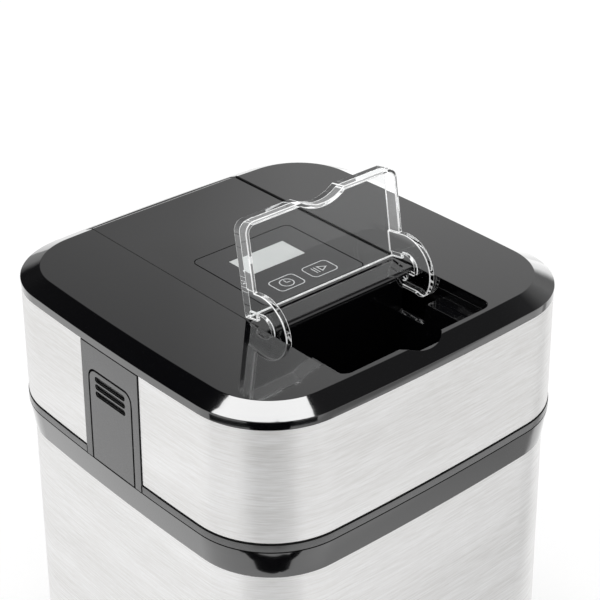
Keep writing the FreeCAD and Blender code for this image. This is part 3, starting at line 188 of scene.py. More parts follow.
tree.links.new(shade.outputs[2], shader.inputs["Base Color"])
tree.links.new(dull.outputs["Result"], shader.inputs["Roughness"])
tree.links.new(relief.outputs["Normal"], shader.inputs["Normal"])
tree.links.new(level.outputs["Tangent"], shader.inputs["Tangent"])
finish(brushed_steel, "housing_wrap")


# Bowl well: the grey bucket that the freezer bowl stands in.
# Injection-moulded polypropylene, hung from the rim ring.

# The eye gets a plain mid grey with the soft sheen of polypropylene.
grey_polypropylene, tree, shader = new_material("grey_polypropylene", {"IOR": 1.49})
place = add_node(tree, "ShaderNodeTexCoord").outputs["Object"]
grain = add_node(tree, "ShaderNodeTexNoise", {"Vector": place, "Scale": 1 / (1.2 * MM),
                                              "Detail": 3.0})
cloud = add_node(tree, "ShaderNodeTexNoise", {"Vector": place, "Scale": 1 / (40 * MM),
                                              "Detail": 2.0})
dull = add_node(tree, "ShaderNodeMapRange", {"Value": grain.outputs["Fac"], "To Min": 0.35,
                                             "To Max": 0.5})
relief = add_node(tree, "ShaderNodeBump", {"Height": grain.outputs["Fac"], "Strength": 0.1,
                                           "Distance": 0.05 * MM})
shade = add_node(tree, "ShaderNodeMix", {0: cloud.outputs["Fac"], 6: linear("565758"),
                                         7: linear("6c6d71")}, data_type="RGBA")
tree.links.new(shade.outputs[2], shader.inputs["Base Color"])
tree.links.new(dull.outputs["Result"], shader.inputs["Roughness"])
tree.links.new(relief.outputs["Normal"], shader.inputs["Normal"])
finish(grey_polypropylene, "bowl_well")


# Rim ring: the black tapered band under the seam, with the deck that the head sits on.
# Moulded in ABS from a polished mould, so that it shines like lacquer.
# It clamps the wrap's top edge.

# Points nearer than WELD are one point, and triangles closer to level than FLAT are one face.
# Faces that meet under SMOOTH shade as one curve.
WELD, FLAT, SMOOTH = 0.002 * MM, math.radians(0.2), math.radians(35.0)


def moulded_copy(node, body, material, edge, angle=25.0, rings=2, holed=False,
                 edge_material=None, where=None):
    """Copy a CAD node, weld its triangles and round its sharp edges as a real mould does.

    The rounds take edge_material if there is one. With where, only those rounds do whose
    centre passes that test.
    """
    piece = bpy.data.objects.new(node + "_moulded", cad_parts[node].data.copy())
    bpy.context.scene.collection.objects.link(piece)
    piece.data.materials.clear()
    piece.data.materials.append(material)
    bpy.ops.object.select_all(action="DESELECT")
    bpy.context.view_layer.objects.active = piece
    piece.select_set(True)
    bpy.ops.mesh.customdata_custom_splitnormals_clear()
    bpy.ops.object.mode_set(mode="EDIT")
    bpy.ops.mesh.select_all(action="SELECT")
    bpy.ops.mesh.remove_doubles(threshold=WELD)
    bpy.ops.mesh.dissolve_limited(angle_limit=FLAT)
    if holed:
        bpy.ops.mesh.quads_convert_to_tris()
    bpy.ops.object.mode_set(mode="OBJECT")
    rounding = piece.modifiers.new("edges", "BEVEL")
    if edge_material:
        piece.data.materials.append(edge_material)
        rounding.material = 1
    rounding.width = edge
    rounding.segments = rings
    rounding.limit_method = "ANGLE"
    rounding.angle_limit = math.radians(angle)
    rounding.use_clamp_overlap = False
    rounding.miter_outer = "MITER_ARC"
    bpy.ops.object.modifier_apply(modifier="edges")
    if where:
        for face in piece.data.polygons:
            if not where(face.center):
                face.material_index = 0
    bpy.ops.object.shade_smooth_by_angle(angle=SMOOTH)
    level = piece.modifiers.new("level", "WEIGHTED_NORMAL")
    level.keep_sharp = True
    bpy.ops.object.modifier_apply(modifier="level")
    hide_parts(node)
    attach(piece, body)


# The eye gets a deep black under a clear mirror skin, with the faint ripple of moulded plastic.
gloss_abs, tree, shader = new_material("polished_black_abs",
                                       {"Base Color": linear("08080a"), "IOR": 1.53,
                                        "Specular IOR Level": 0.9, "Coat Weight": 1.0,
                                        "Coat IOR": 1.5, "Coat Roughness": 0.02})
place = add_node(tree, "ShaderNodeTexCoord").outputs["Object"]
ripple = add_node(tree, "ShaderNodeTexNoise", {"Vector": place, "Scale": 1 / (9 * MM),
                                               "Detail": 1.0})
haze = add_node(tree, "ShaderNodeTexNoise", {"Vector": place, "Scale": 1 / (30 * MM),
                                             "Detail": 4.0})
dull = add_node(tree, "ShaderNodeMapRange", {"Value": haze.outputs["Fac"], "To Min": 0.04,
                                             "To Max": 0.1})
relief = add_node(tree, "ShaderNodeBump", {"Height": ripple.outputs["Fac"], "Strength": 0.02,
                                           "Distance": 0.1 * MM})
tree.links.new(dull.outputs["Result"], shader.inputs["Roughness"])
tree.links.new(relief.outputs["Normal"], shader.inputs["Normal"])
tree.links.new(relief.outputs["Normal"], shader.inputs["Coat Normal"])

# The eye gets a dull black line where mouldings meet: painted shade in the joints, a matte black on
# the rounds.
joint_shade, tree, shader = new_material("painted_joint_shade_abs",
                                          {"IOR": 1.53, "Specular IOR Level": 0.1})
place = add_node(tree, "ShaderNodeTexCoord").outputs["Object"]
cloud = add_node(tree, "ShaderNodeTexNoise", {"Vector": place, "Scale": 1 / (4 * MM),
                                              "Detail": 2.0})
dull = add_node(tree, "ShaderNodeMapRange", {"Value": cloud.outputs["Fac"], "To Min": 0.7,
                                             "To Max": 0.9})
shade = add_node(tree, "ShaderNodeMix", {0: cloud.outputs["Fac"], 6: linear("050505"),
                                         7: linear("121212")}, data_type="RGBA")
tree.links.new(shade.outputs[2], shader.inputs["Base Color"])
tree.links.new(dull.outputs["Result"], shader.inputs["Roughness"])

# Rounds within this height of a joint get the painted joint shade.
JOINT_SHADE_REACH = 1 * MM
ring_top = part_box("rim_ring")[1][2]
# The ring's top rounds get the painted joint shade.
moulded_copy("rim_ring", "base", gloss_abs, edge=0.35 * MM,
             edge_material=joint_shade, where=lambda spot: spot.z > ring_top - JOINT_SHADE_REACH)


# Freezer bowl: a double-walled bucket filled with coolant, frozen before use.
# White polypropylene outside and rim, a drawn aluminium inside, sealed round the top.

# The eye gets a clean white with a soft sheen, a little uneven where the wall cools slowly.
white_polypropylene, tree, shader = new_material("white_polypropylene",
                                                 {"IOR": 1.49, "Subsurface Weight": 0.05})
place = add_node(tree, "ShaderNodeTexCoord").outputs["Object"]
cloud = add_node(tree, "ShaderNodeTexNoise", {"Vector": place, "Scale": 1 / (30 * MM),
                                              "Detail": 2.0})
grain = add_node(tree, "ShaderNodeTexNoise", {"Vector": place, "Scale": 1 / (0.9 * MM),
                                              "Detail": 2.0})
dull = add_node(tree, "ShaderNodeMapRange", {"Value": grain.outputs["Fac"], "To Min": 0.32,
                                             "To Max": 0.45})
shade = add_node(tree, "ShaderNodeMix", {0: cloud.outputs["Fac"], 6: linear("dededa"),
                                         7: linear("f4f4f3")}, data_type="RGBA")
tree.links.new(shade.outputs[2], shader.inputs["Base Color"])
tree.links.new(dull.outputs["Result"], shader.inputs["Roughness"])
finish(white_polypropylene, "bowl_outer", "bowl_rim")

# The eye gets a pale satin metal with the round marks of spinning and drawing.
drawn_aluminium, tree, shader = new_material("drawn_aluminium", {"Metallic": 1.0})
place = add_node(tree, "ShaderNodeTexCoord").outputs["Object"]
MARK_LONG, MARK_APART = 60 * MM, 1.2 * MM
along = (1 / MARK_LONG, 1 / MARK_LONG, 1 / MARK_APART)
stroke = add_node(tree, "ShaderNodeMapping", {"Vector": place, "Scale": along})
lines = add_node(tree, "ShaderNodeTexNoise", {"Vector": stroke.outputs["Vector"], "Scale": 1.0,
                                              "Detail": 3.0})
dull = add_node(tree, "ShaderNodeMapRange", {"Value": lines.outputs["Fac"], "To Min": 0.3,
                                             "To Max": 0.48})
shade = add_node(tree, "ShaderNodeMix", {0: lines.outputs["Fac"], 6: linear("c8c9cc"),
                                         7: linear("eceded")}, data_type="RGBA")
tree.links.new(shade.outputs[2], shader.inputs["Base Color"])
tree.links.new(dull.outputs["Result"], shader.inputs["Roughness"])
finish(drawn_aluminium, "bowl_inner_shell")

# The eye never sees the gel; it is a pale blue, cloudy filling.
coolant_gel, tree, shader = new_material("coolant_gel", {"IOR": 1.36, "Roughness": 0.2,
                                                         "Subsurface Weight": 0.3})
place = add_node(tree, "ShaderNodeTexCoord").outputs["Object"]
cloud = add_node(tree, "ShaderNodeTexNoise", {"Vector": place, "Scale": 1 / (12 * MM),
                                              "Detail": 3.0})
shade = add_node(tree, "ShaderNodeMix", {0: cloud.outputs["Fac"], 6: linear("99bbd9"),
                                         7: linear("d3e4f3")}, data_type="RGBA")
tree.links.new(shade.outputs[2], shader.inputs["Base Color"])
finish(coolant_gel, "coolant_gel")


# Mixing paddle: the two-bladed scraper that stands on the bowl's pivot.
# Moulded in clear polycarbonate, turned by the square socket of the output shaft.

# The eye gets a clear part with bright edges and a trace of flow marks.
clear_polycarbonate, tree, shader = new_material("clear_polycarbonate",
                                                 {"Base Color": linear("f4f7f8"), "IOR": 1.58,
                                                  "Transmission Weight": 1.0})
place = add_node(tree, "ShaderNodeTexCoord").outputs["Object"]
flow = add_node(tree, "ShaderNodeTexNoise", {"Vector": place, "Scale": 1 / (15 * MM),
                                             "Detail": 2.0})
dull = add_node(tree, "ShaderNodeMapRange", {"Value": flow.outputs["Fac"], "To Min": 0.03,
                                             "To Max": 0.12})
tree.links.new(dull.outputs["Result"], shader.inputs["Roughness"])
finish(clear_polycarbonate, "mixing_paddle")


# Drive: output shaft and gear, idler on its pin, and the motor's pinion.
# Gears and shaft are moulded nylon, the pinion is turned brass pressed on the motor's shaft.

# The eye gets a warm, waxy off-white.
moulded_nylon, tree, shader = new_material("moulded_nylon",
                                           {"IOR": 1.53, "Subsurface Weight": 0.08})
place = add_node(tree, "ShaderNodeTexCoord").outputs["Object"]
cloud = add_node(tree, "ShaderNodeTexNoise", {"Vector": place, "Scale": 1 / (6 * MM),
                                              "Detail": 3.0})
dull = add_node(tree, "ShaderNodeMapRange", {"Value": cloud.outputs["Fac"], "To Min": 0.38,
                                             "To Max": 0.5})
shade = add_node(tree, "ShaderNodeMix", {0: cloud.outputs["Fac"], 6: linear("e1ded1"),
                                         7: linear("f4f1ea")}, data_type="RGBA")
tree.links.new(shade.outputs[2], shader.inputs["Base Color"])
tree.links.new(dull.outputs["Result"], shader.inputs["Roughness"])
finish(moulded_nylon, "output_shaft", "output_gear", "idler_gear")

# The eye gets a yellow metal with fine turning marks.
turned_brass, tree, shader = new_material("turned_brass", {"Metallic": 1.0})
place = add_node(tree, "ShaderNodeTexCoord").outputs["Object"]
marks = add_node(tree, "ShaderNodeTexNoise", {"Vector": place, "Scale": 1 / (0.8 * MM),
                                              "Detail": 2.0})
dull = add_node(tree, "ShaderNodeMapRange", {"Value": marks.outputs["Fac"], "To Min": 0.22,
                                             "To Max": 0.36})
shade = add_node(tree, "ShaderNodeMix", {0: marks.outputs["Fac"], 6: linear("c0974e"),
                                         7: linear("e1c07a")}, data_type="RGBA")
tree.links.new(shade.outputs[2], shader.inputs["Base Color"])
tree.links.new(dull.outputs["Result"], shader.inputs["Roughness"])
finish(turned_brass, "motor_pinion", "touch_pads")
finish(zinc_plate, "idler_pin", "motor_screws", "floor_screws", "latch_pins")
finish(grey_polypropylene, "gear_cover")


# Motor and power board: the closed can on the gear cover, and the board beside it.
# Pressed steel can with a dull zinc finish; glass-fibre board with its tall parts.

# The eye gets a dull grey can with a soft vertical sheen.
pressed_can, tree, shader = new_material("zinc_coated_can", {"Metallic": 0.9})
place = add_node(tree, "ShaderNodeTexCoord").outputs["Object"]
cloud = add_node(tree, "ShaderNodeTexNoise", {"Vector": place, "Scale": 1 / (7 * MM),
                                              "Detail": 4.0})
dull = add_node(tree, "ShaderNodeMapRange", {"Value": cloud.outputs["Fac"], "To Min": 0.35,
                                             "To Max": 0.5})
shade = add_node(tree, "ShaderNodeMix", {0: cloud.outputs["Fac"], 6: linear("81848a"),
                                         7: linear("b0b3b6")}, data_type="RGBA")
tree.links.new(shade.outputs[2], shader.inputs["Base Color"])
tree.links.new(dull.outputs["Result"], shader.inputs["Roughness"])
finish(pressed_can, "drive_motor")

# The eye gets a dark green lacquer with a trace of the glass weave.
glass_board, tree, shader = new_material("glass_fibre_board", {"IOR": 1.55})
place = add_node(tree, "ShaderNodeTexCoord").outputs["Object"]
weave = add_node(tree, "ShaderNodeTexNoise", {"Vector": place, "Scale": 1 / (1.0 * MM),
                                              "Detail": 1.0})
dull = add_node(tree, "ShaderNodeMapRange", {"Value": weave.outputs["Fac"], "To Min": 0.3,
                                             "To Max": 0.42})
shade = add_node(tree, "ShaderNodeMix", {0: weave.outputs["Fac"], 6: linear("1a502e"),
                                         7: linear("2c7447")}, data_type="RGBA")
tree.links.new(shade.outputs[2], shader.inputs["Base Color"])
tree.links.new(dull.outputs["Result"], shader.inputs["Roughness"])
finish(glass_board, "power_board", "control_board")


# Head floor and bowl gasket: the plate that closes the head from below, and its seal on the rim.
# Grey polypropylene plate on the frame's ledges, black rubber ring pressed in its groove.

finish(grey_polypropylene, "head_floor")
finish(moulded_rubber, "bowl_gasket")


# Head frame: the black moulding that carries the steel bands, with a pillar round each latch.
# ABS from a finely textured mould, a shade duller than the cover.

# The eye gets a dark grey-black that takes on a broad, soft reflection of the room.
satin_abs, tree, shader = new_material("satin_black_abs",
                                       {"IOR": 1.53, "Specular IOR Level": 0.9, "Coat Weight": 0.6,
                                        "Coat IOR": 1.5, "Coat Roughness": 0.18})
place = add_node(tree, "ShaderNodeTexCoord").outputs["Object"]
grain = add_node(tree, "ShaderNodeTexNoise", {"Vector": place, "Scale": 1 / (0.4 * MM),
                                              "Detail": 2.0})
cloud = add_node(tree, "ShaderNodeTexNoise", {"Vector": place, "Scale": 1 / (30 * MM),
                                              "Detail": 2.0})
dull = add_node(tree, "ShaderNodeMapRange", {"Value": grain.outputs["Fac"], "To Min": 0.22,
                                             "To Max": 0.3})
relief = add_node(tree, "ShaderNodeBump", {"Height": grain.outputs["Fac"], "Strength": 0.03,
                                           "Distance": 0.02 * MM})
shade = add_node(tree, "ShaderNodeMix", {0: cloud.outputs["Fac"], 6: linear("323233"),
                                         7: linear("404041")}, data_type="RGBA")
tree.links.new(shade.outputs[2], shader.inputs["Base Color"])
tree.links.new(dull.outputs["Result"], shader.inputs["Roughness"])
tree.links.new(relief.outputs["Normal"], shader.inputs["Normal"])
# All of the frame's rounds get the painted joint shade.
moulded_copy("head_frame", "head", satin_abs, edge=0.35 * MM, holed=True,
             edge_material=joint_shade)


# Steel bands: the two bright skins round the front and the back of the head.
# Brushed stainless sheet, 0.8 mm, bent and bedded in the frame.

for band in ("front_band", "rear_band"):
    moulded_copy(band, "head", brushed_steel, edge=0.15 * MM, angle=40.0, rings=1)


# Latches: a sprung grip in each side pillar that frees the head, with three dark slots to grip by.
# Satin ABS like the frame, on steel pins, each pushed out by a leaf of spring steel.

# The latches' rounds get the painted joint shade.
for node, body in (("latch_left", "left_latch"), ("latch_right", "right_latch")):
    moulded_copy(node, body, satin_abs, edge=0.35 * MM, edge_material=joint_shade)
finish(zinc_plate, "latch_spring_left", "latch_spring_right")


# Top cover: the black lid of the head, with its wide bevel all round and the opening for the chute.
# ABS from a polished mould, snapped over the frame.

cover_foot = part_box("top_cover")[0][2]
strip_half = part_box("control_fascia")[1][0]
STRIP_JOINT = 0.8 * MM
# Rounds at the cover's foot and beside the strip's joints get the painted joint shade.
moulded_copy("top_cover", "head", gloss_abs, edge=0.2 * MM, angle=18.0,
             edge_material=joint_shade,
             where=lambda spot: (spot.z < cover_foot + JOINT_SHADE_REACH
                                 or abs(abs(spot.x) - strip_half) < STRIP_JOINT))


# Control fascia: the sunk strip along the middle of the cover, rounded at its nose.
# The same polished ABS, clipped into the cover's channel.

moulded_copy("control_fascia", "head", gloss_abs, edge=0.15 * MM)


# Strip joint shade: the black line down each side of the control strip.
# A thin black rubber bead in the joint between strip and cover, standing in for the shade in that
# joint.

# A bead's middle lies SHADE_BEAD_OUT beyond the strip's edge, and it runs from nose to rear bevel.
SHADE_BEAD_WIDE, SHADE_BEAD_DEEP, SHADE_BEAD_ROUND, SHADE_BEAD_OUT = 0.5 * MM, 0.9 * MM, 0.15 * MM, 0.15 * MM
NOSE_LONG, REAR_BEVEL = 6 * MM, 9.6 * MM
bead_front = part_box("control_fascia")[0][1] + NOSE_LONG
cover_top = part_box("top_cover")[1][2]
bead_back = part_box("top_cover")[1][1] - REAR_BEVEL
bead_x, bead_y = strip_half + SHADE_BEAD_OUT, (bead_back + bead_front) / 2
bpy.ops.object.select_all(action="DESELECT")
bpy.ops.mesh.primitive_cube_add(size=1.0)
bpy.ops.object.mode_set(mode="EDIT")
bpy.ops.transform.resize(value=(SHADE_BEAD_WIDE, bead_back - bead_front, SHADE_BEAD_DEEP),
                         center_override=(0.0, 0.0, 0.0))
bpy.ops.mesh.bevel(offset=SHADE_BEAD_ROUND, segments=2, affect="EDGES")
bpy.ops.transform.translate(value=(bead_x, bead_y, cover_top - SHADE_BEAD_DEEP / 2))
bpy.ops.object.mode_set(mode="OBJECT")
right_shade_bead = bpy.context.object
right_shade_bead.name = "strip_shade_bead_right"
bpy.ops.object.duplicate()
left_shade_bead = bpy.context.object
left_shade_bead.name = "strip_shade_bead_left"
bpy.ops.object.mode_set(mode="EDIT")
bpy.ops.mesh.select_all(action="SELECT")
bpy.ops.transform.translate(value=(-2 * bead_x, 0.0, 0.0))
bpy.ops.object.mode_set(mode="OBJECT")
for shade_bead in (right_shade_bead, left_shade_bead):
    shade_bead.data.materials.append(moulded_rubber)
    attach(shade_bead, "head")


# Display film: the printed overlay round the display and the keys.
# Polyester film, 0.4 mm, printed black on its back and glued into the strip's recess.

# The eye gets a black a touch softer than the plastic round it.
printed_film, tree, shader = new_material("printed_polyester_film",
                                          {"IOR": 1.6, "Specular IOR Level": 0.85,
                                           "Coat Weight": 0.85, "Coat IOR": 1.5,
                                           "Coat Roughness": 0.05})
place = add_node(tree, "ShaderNodeTexCoord").outputs["Object"]
haze = add_node(tree, "ShaderNodeTexNoise", {"Vector": place, "Scale": 1 / (20 * MM),
                                             "Detail": 3.0})
dull = add_node(tree, "ShaderNodeMapRange", {"Value": haze.outputs["Fac"], "To Min": 0.08,
                                             "To Max": 0.14})
shade = add_node(tree, "ShaderNodeMix", {0: haze.outputs["Fac"], 6: linear("111112"),
                                         7: linear("19191d")}, data_type="RGBA")
tree.links.new(shade.outputs[2], shader.inputs["Base Color"])
tree.links.new(dull.outputs["Result"], shader.inputs["Roughness"])
finish(printed_film, "display_film")


# Key prints: an outline and a sign for each touch field, and the dull line round the film's edge.
# Screen-printed on the film's face in light grey ink, a few hundredths of a millimetre thick.
# The line at the edge is black, painted shade where the film meets its recess.

INK = 0.03 * MM
film_low, film_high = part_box("display_film")
film_top = film_high[2]


def add_bar(x, y, wide, deep):
    """Lay a flat bar on the film, selected all over."""
    bpy.ops.mesh.primitive_plane_add(size=1.0, location=(x, y, film_top))
    if bpy.context.object.mode == "OBJECT":
        bpy.ops.object.mode_set(mode="EDIT")
    bpy.ops.transform.resize(value=(wide, deep, 1.0), center_override=(x, y, film_top))


def hollow(line):
    """Leave only a line of the selected flat shape's rim."""
    bpy.ops.mesh.inset(thickness=line)
    bpy.ops.mesh.delete(type="FACE")


def lay_thin_layer(name, material):
    """Give the shape being drawn the ink's thickness, for the print and for the painted shade line,
    and fix it to the head.
    """
    bpy.ops.object.mode_set(mode="OBJECT")
    piece = bpy.context.object
    piece.name = name
    ink = piece.modifiers.new("ink", "SOLIDIFY")
    ink.thickness = INK
    ink.offset = 1.0
    bpy.ops.object.modifier_apply(modifier="ink")
    bpy.ops.object.transform_apply(location=True, rotation=True, scale=True)
    piece.data.materials.append(material)
    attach(piece, "head")


# The eye gets an even pale grey with the faint grain of a printing screen.
screen_ink, tree, shader = new_material("screen_printing_ink",
                                        {"IOR": 1.5, "Specular IOR Level": 0.3})
place = add_node(tree, "ShaderNodeTexCoord").outputs["Object"]
grain = add_node(tree, "ShaderNodeTexNoise", {"Vector": place, "Scale": 1 / (0.2 * MM),
                                              "Detail": 2.0})
dull = add_node(tree, "ShaderNodeMapRange", {"Value": grain.outputs["Fac"], "To Min": 0.45,
                                             "To Max": 0.6})
shade = add_node(tree, "ShaderNodeMix", {0: grain.outputs["Fac"], 6: linear("b7b8b9"),
                                         7: linear("d5d6d7")}, data_type="RGBA")
tree.links.new(shade.outputs[2], shader.inputs["Base Color"])
tree.links.new(dull.outputs["Result"], shader.inputs["Roughness"])

KEY_WIDE, KEY_DEEP, KEY_ROUND, KEY_LINE = 16.0 * MM, 11.8 * MM, 2.8 * MM, 0.6 * MM
SIGN_HALF, SIGN_LINE = 3.8 * MM, 0.6 * MM
timer_x, start_x, key_y = -9.6 * MM, 11.3 * MM, -11.6 * MM

for name, x in (("timer_key_outline", timer_x), ("start_key_outline", start_x)):
    bpy.ops.object.select_all(action="DESELECT")
    add_bar(x, key_y, KEY_WIDE, KEY_DEEP)
    bpy.ops.mesh.bevel(offset=KEY_ROUND, segments=8, affect="VERTICES")
    hollow(KEY_LINE)
    lay_thin_layer(name, screen_ink)

bpy.ops.object.select_all(action="DESELECT")
bpy.ops.mesh.primitive_circle_add(vertices=48, radius=SIGN_HALF, fill_type="NGON",
                                  location=(timer_x, key_y, film_top))
bpy.ops.object.mode_set(mode="EDIT")
hollow(SIGN_LINE)
add_bar(timer_x, key_y + SIGN_HALF / 3, SIGN_LINE, SIGN_HALF * 2 / 3)
add_bar(timer_x + SIGN_HALF / 4, key_y, SIGN_HALF / 2 + SIGN_LINE, SIGN_LINE)
lay_thin_layer("timer_sign", screen_ink)

bpy.ops.object.select_all(action="DESELECT")
add_bar(start_x - 0.9 * SIGN_HALF, key_y, SIGN_LINE, 1.4 * SIGN_HALF)
add_bar(start_x - 0.5 * SIGN_HALF, key_y, SIGN_LINE, 1.4 * SIGN_HALF)
bpy.ops.mesh.primitive_circle_add(vertices=3, radius=0.85 * SIGN_HALF, fill_type="NGON",
                                  location=(start_x + 0.35 * SIGN_HALF, key_y, film_top),
                                  rotation=(0.0, 0.0, math.radians(-90.0)))
hollow(SIGN_LINE)
lay_thin_layer("start_sign", screen_ink)

# The line round the film's edge is painted shade, in the joint shade material.
FILM_ROUND, EDGE_SHADE_LINE = 4 * MM, 0.4 * MM
film_x, film_y = (film_low[0] + film_high[0]) / 2, (film_low[1] + film_high[1]) / 2
bpy.ops.object.select_all(action="DESELECT")
add_bar(film_x, film_y, film_high[0] - film_low[0], film_high[1] - film_low[1])
bpy.ops.mesh.bevel(offset=FILM_ROUND, segments=8, affect="VERTICES")
hollow(EDGE_SHADE_LINE)
lay_thin_layer("film_edge_shade", joint_shade)


# Display: the blank liquid-crystal panel in the film's window.
# Glass over a silver-grey reflector, in a moulded case on the control board.

# The eye gets an even silver grey under glass.
crystal_panel, tree, shader = new_material("liquid_crystal_panel", {"IOR": 1.52, "Roughness": 0.12})
place = add_node(tree, "ShaderNodeTexCoord").outputs["Object"]
cloud = add_node(tree, "ShaderNodeTexNoise", {"Vector": place, "Scale": 1 / (18 * MM),
                                              "Detail": 2.0})
shade = add_node(tree, "ShaderNodeMix", {0: cloud.outputs["Fac"], 6: linear("c1c4c3"),
                                         7: linear("d0d2d1")}, data_type="RGBA")
tree.links.new(shade.outputs[2], shader.inputs["Base Color"])
finish(crystal_panel, "lcd_module")


# Fill chute: the ledge under the flap and the hopper that leads into the bowl.
# One moulding in polished black ABS, hung under the cover's opening.

moulded_copy("fill_chute", "head", gloss_abs, edge=0.5 * MM, holed=True)


# Fill flap: the clear lid of the opening, standing up on its two curved arms.
# Moulded in clear acrylic; its pins snap into the chute's wells.

# The eye gets glass-clear plastic that shows mostly by its bright, rounded edges, which get a
# painted glow.
clear_acrylic, tree, shader = new_material("clear_acrylic",
                                           {"Base Color": linear("fbfcfc"), "IOR": 1.2,
                                            "Transmission Weight": 1.0,
                                            "Emission Color": linear("ffffff")})
place = add_node(tree, "ShaderNodeTexCoord").outputs["Object"]
facing = add_node(tree, "ShaderNodeTexCoord").outputs["Normal"]
# A painted glow is put on the rims of the leaning lid only, not its two faces, and not the arms
# below LID_FOOT.
LEAN, LID_FOOT, LID_FULL = math.radians(9.2), 250 * MM, 254 * MM
lid_face = (0.0, math.cos(LEAN), -math.sin(LEAN))
flat = add_node(tree, "ShaderNodeVectorMath", {0: facing, 1: lid_face}, operation="DOT_PRODUCT")
flat = add_node(tree, "ShaderNodeMath", {0: flat.outputs["Value"]}, operation="ABSOLUTE")
rim = add_node(tree, "ShaderNodeMapRange", {"Value": flat.outputs["Value"], "From Min": 0.3,
                                            "From Max": 0.7, "To Min": 0.08, "To Max": 0.0})
above = add_node(tree, "ShaderNodeSeparateXYZ", {"Vector": place}).outputs["Z"]
above = add_node(tree, "ShaderNodeMapRange", {"Value": above, "From Min": LID_FOOT,
                                              "From Max": LID_FULL})
glow = add_node(tree, "ShaderNodeMath", {0: rim.outputs["Result"], 1: above.outputs["Result"]},
                operation="MULTIPLY")
tree.links.new(glow.outputs["Value"], shader.inputs["Emission Strength"])
flow = add_node(tree, "ShaderNodeTexNoise", {"Vector": place, "Scale": 1 / (25 * MM),
                                             "Detail": 2.0})
dull = add_node(tree, "ShaderNodeMapRange", {"Value": flow.outputs["Fac"], "To Min": 0.0,
                                             "To Max": 0.03})
tree.links.new(dull.outputs["Result"], shader.inputs["Roughness"])

# The eye gets a white line, a painted glow on the edges of clear plastic, standing in for light
# that runs in the sheet.
acrylic_edge_glow, tree, shader = new_material("acrylic_edge_glow",
                                          {"Base Color": linear("fafbfb"), "IOR": 1.49,
                                           "Transmission Weight": 0.3,
                                           "Emission Color": linear("ffffff")})
place = add_node(tree, "ShaderNodeTexCoord").outputs["Object"]
flow = add_node(tree, "ShaderNodeTexNoise", {"Vector": place, "Scale": 1 / (6 * MM), "Detail": 2.0})
dull = add_node(tree, "ShaderNodeMapRange", {"Value": flow.outputs["Fac"], "To Min": 0.1,
                                             "To Max": 0.3})
glow = add_node(tree, "ShaderNodeMapRange", {"Value": flow.outputs["Fac"], "From Min": 0.3,
                                             "From Max": 0.7, "To Min": 0.2, "To Max": 0.45})
tree.links.new(dull.outputs["Result"], shader.inputs["Roughness"])
tree.links.new(glow.outputs["Result"], shader.inputs["Emission Strength"])
moulded_copy("flap_lid", "flap", clear_acrylic, edge=0.4 * MM,
             edge_material=acrylic_edge_glow)


# Cord gland: the rubber bush at the back where a mains cord would enter.
# Moulded rubber, pushed through the rear band.

finish(moulded_rubber, "cord_gland")


# Studio: a white paper floor that runs out to white, for the camera, metal and clear plastic.
# Half of what the camera sees stays plain paper, so that the machine's shadow shows on it.
# Reflections see it with two strips of painted shadow in front, and painted brighter far behind at
# the right.

CAMERA_TURN = math.radians(-40.97)
ACROSS = Vector((math.cos(CAMERA_TURN), math.sin(CAMERA_TURN), 0.0))
AWAY = Vector((-math.sin(CAMERA_TURN), math.cos(CAMERA_TURN), 0.0))
FLOOR_WIDE = 12.0
# The share of the floor that is white by itself in reflections and for the camera, and how white.
MIRRORED_SHARE, SEEN_SHARE, SEEN_WHITE = 0.97, 0.5, 1.1

bpy.ops.object.select_all(action="DESELECT")
bpy.ops.mesh.primitive_plane_add(size=FLOOR_WIDE, location=(0.0, 0.0, 0.0))
floor = bpy.context.object
floor.name = "studio_floor"
floor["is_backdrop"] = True
paper, tree, shader = new_material("white_paper",
                                   {"Base Color": linear("f4f4f4"), "Roughness": 0.9,
                                    "Specular IOR Level": 0.0})
rays = add_node(tree, "ShaderNodeLightPath").outputs
mirrored = add_node(tree, "ShaderNodeMath", {0: rays["Is Glossy Ray"],
                                             1: rays["Is Transmission Ray"]}, operation="MAXIMUM")
share = add_node(tree, "ShaderNodeMath", {0: mirrored.outputs["Value"], 1: MIRRORED_SHARE},
                 operation="MULTIPLY")
share = add_node(tree, "ShaderNodeMath", {0: rays["Is Camera Ray"], 1: SEEN_SHARE,
                                          2: share.outputs["Value"]}, operation="MULTIPLY_ADD")
spot = add_node(tree, "ShaderNodeTexCoord").outputs["Object"]
aside = add_node(tree, "ShaderNodeVectorMath", {0: spot, 1: ACROSS}, operation="DOT_PRODUCT")
# Painted light for reflections: the floor is brighter far behind at the right.
right = add_node(tree, "ShaderNodeMapRange", {"Value": aside.outputs["Value"], "From Min": 0.0,
                                              "From Max": 0.15, "To Max": 0.5})
behind = add_node(tree, "ShaderNodeVectorMath", {0: spot, 1: AWAY}, operation="DOT_PRODUCT")
far = add_node(tree, "ShaderNodeMapRange", {"Value": behind.outputs["Value"], "From Min": 1.05,
                                            "From Max": 1.2})
far_right_light = add_node(tree, "ShaderNodeMath", {0: far.outputs["Result"], 1: right.outputs["Result"],
                                         2: 1.0}, operation="MULTIPLY_ADD")
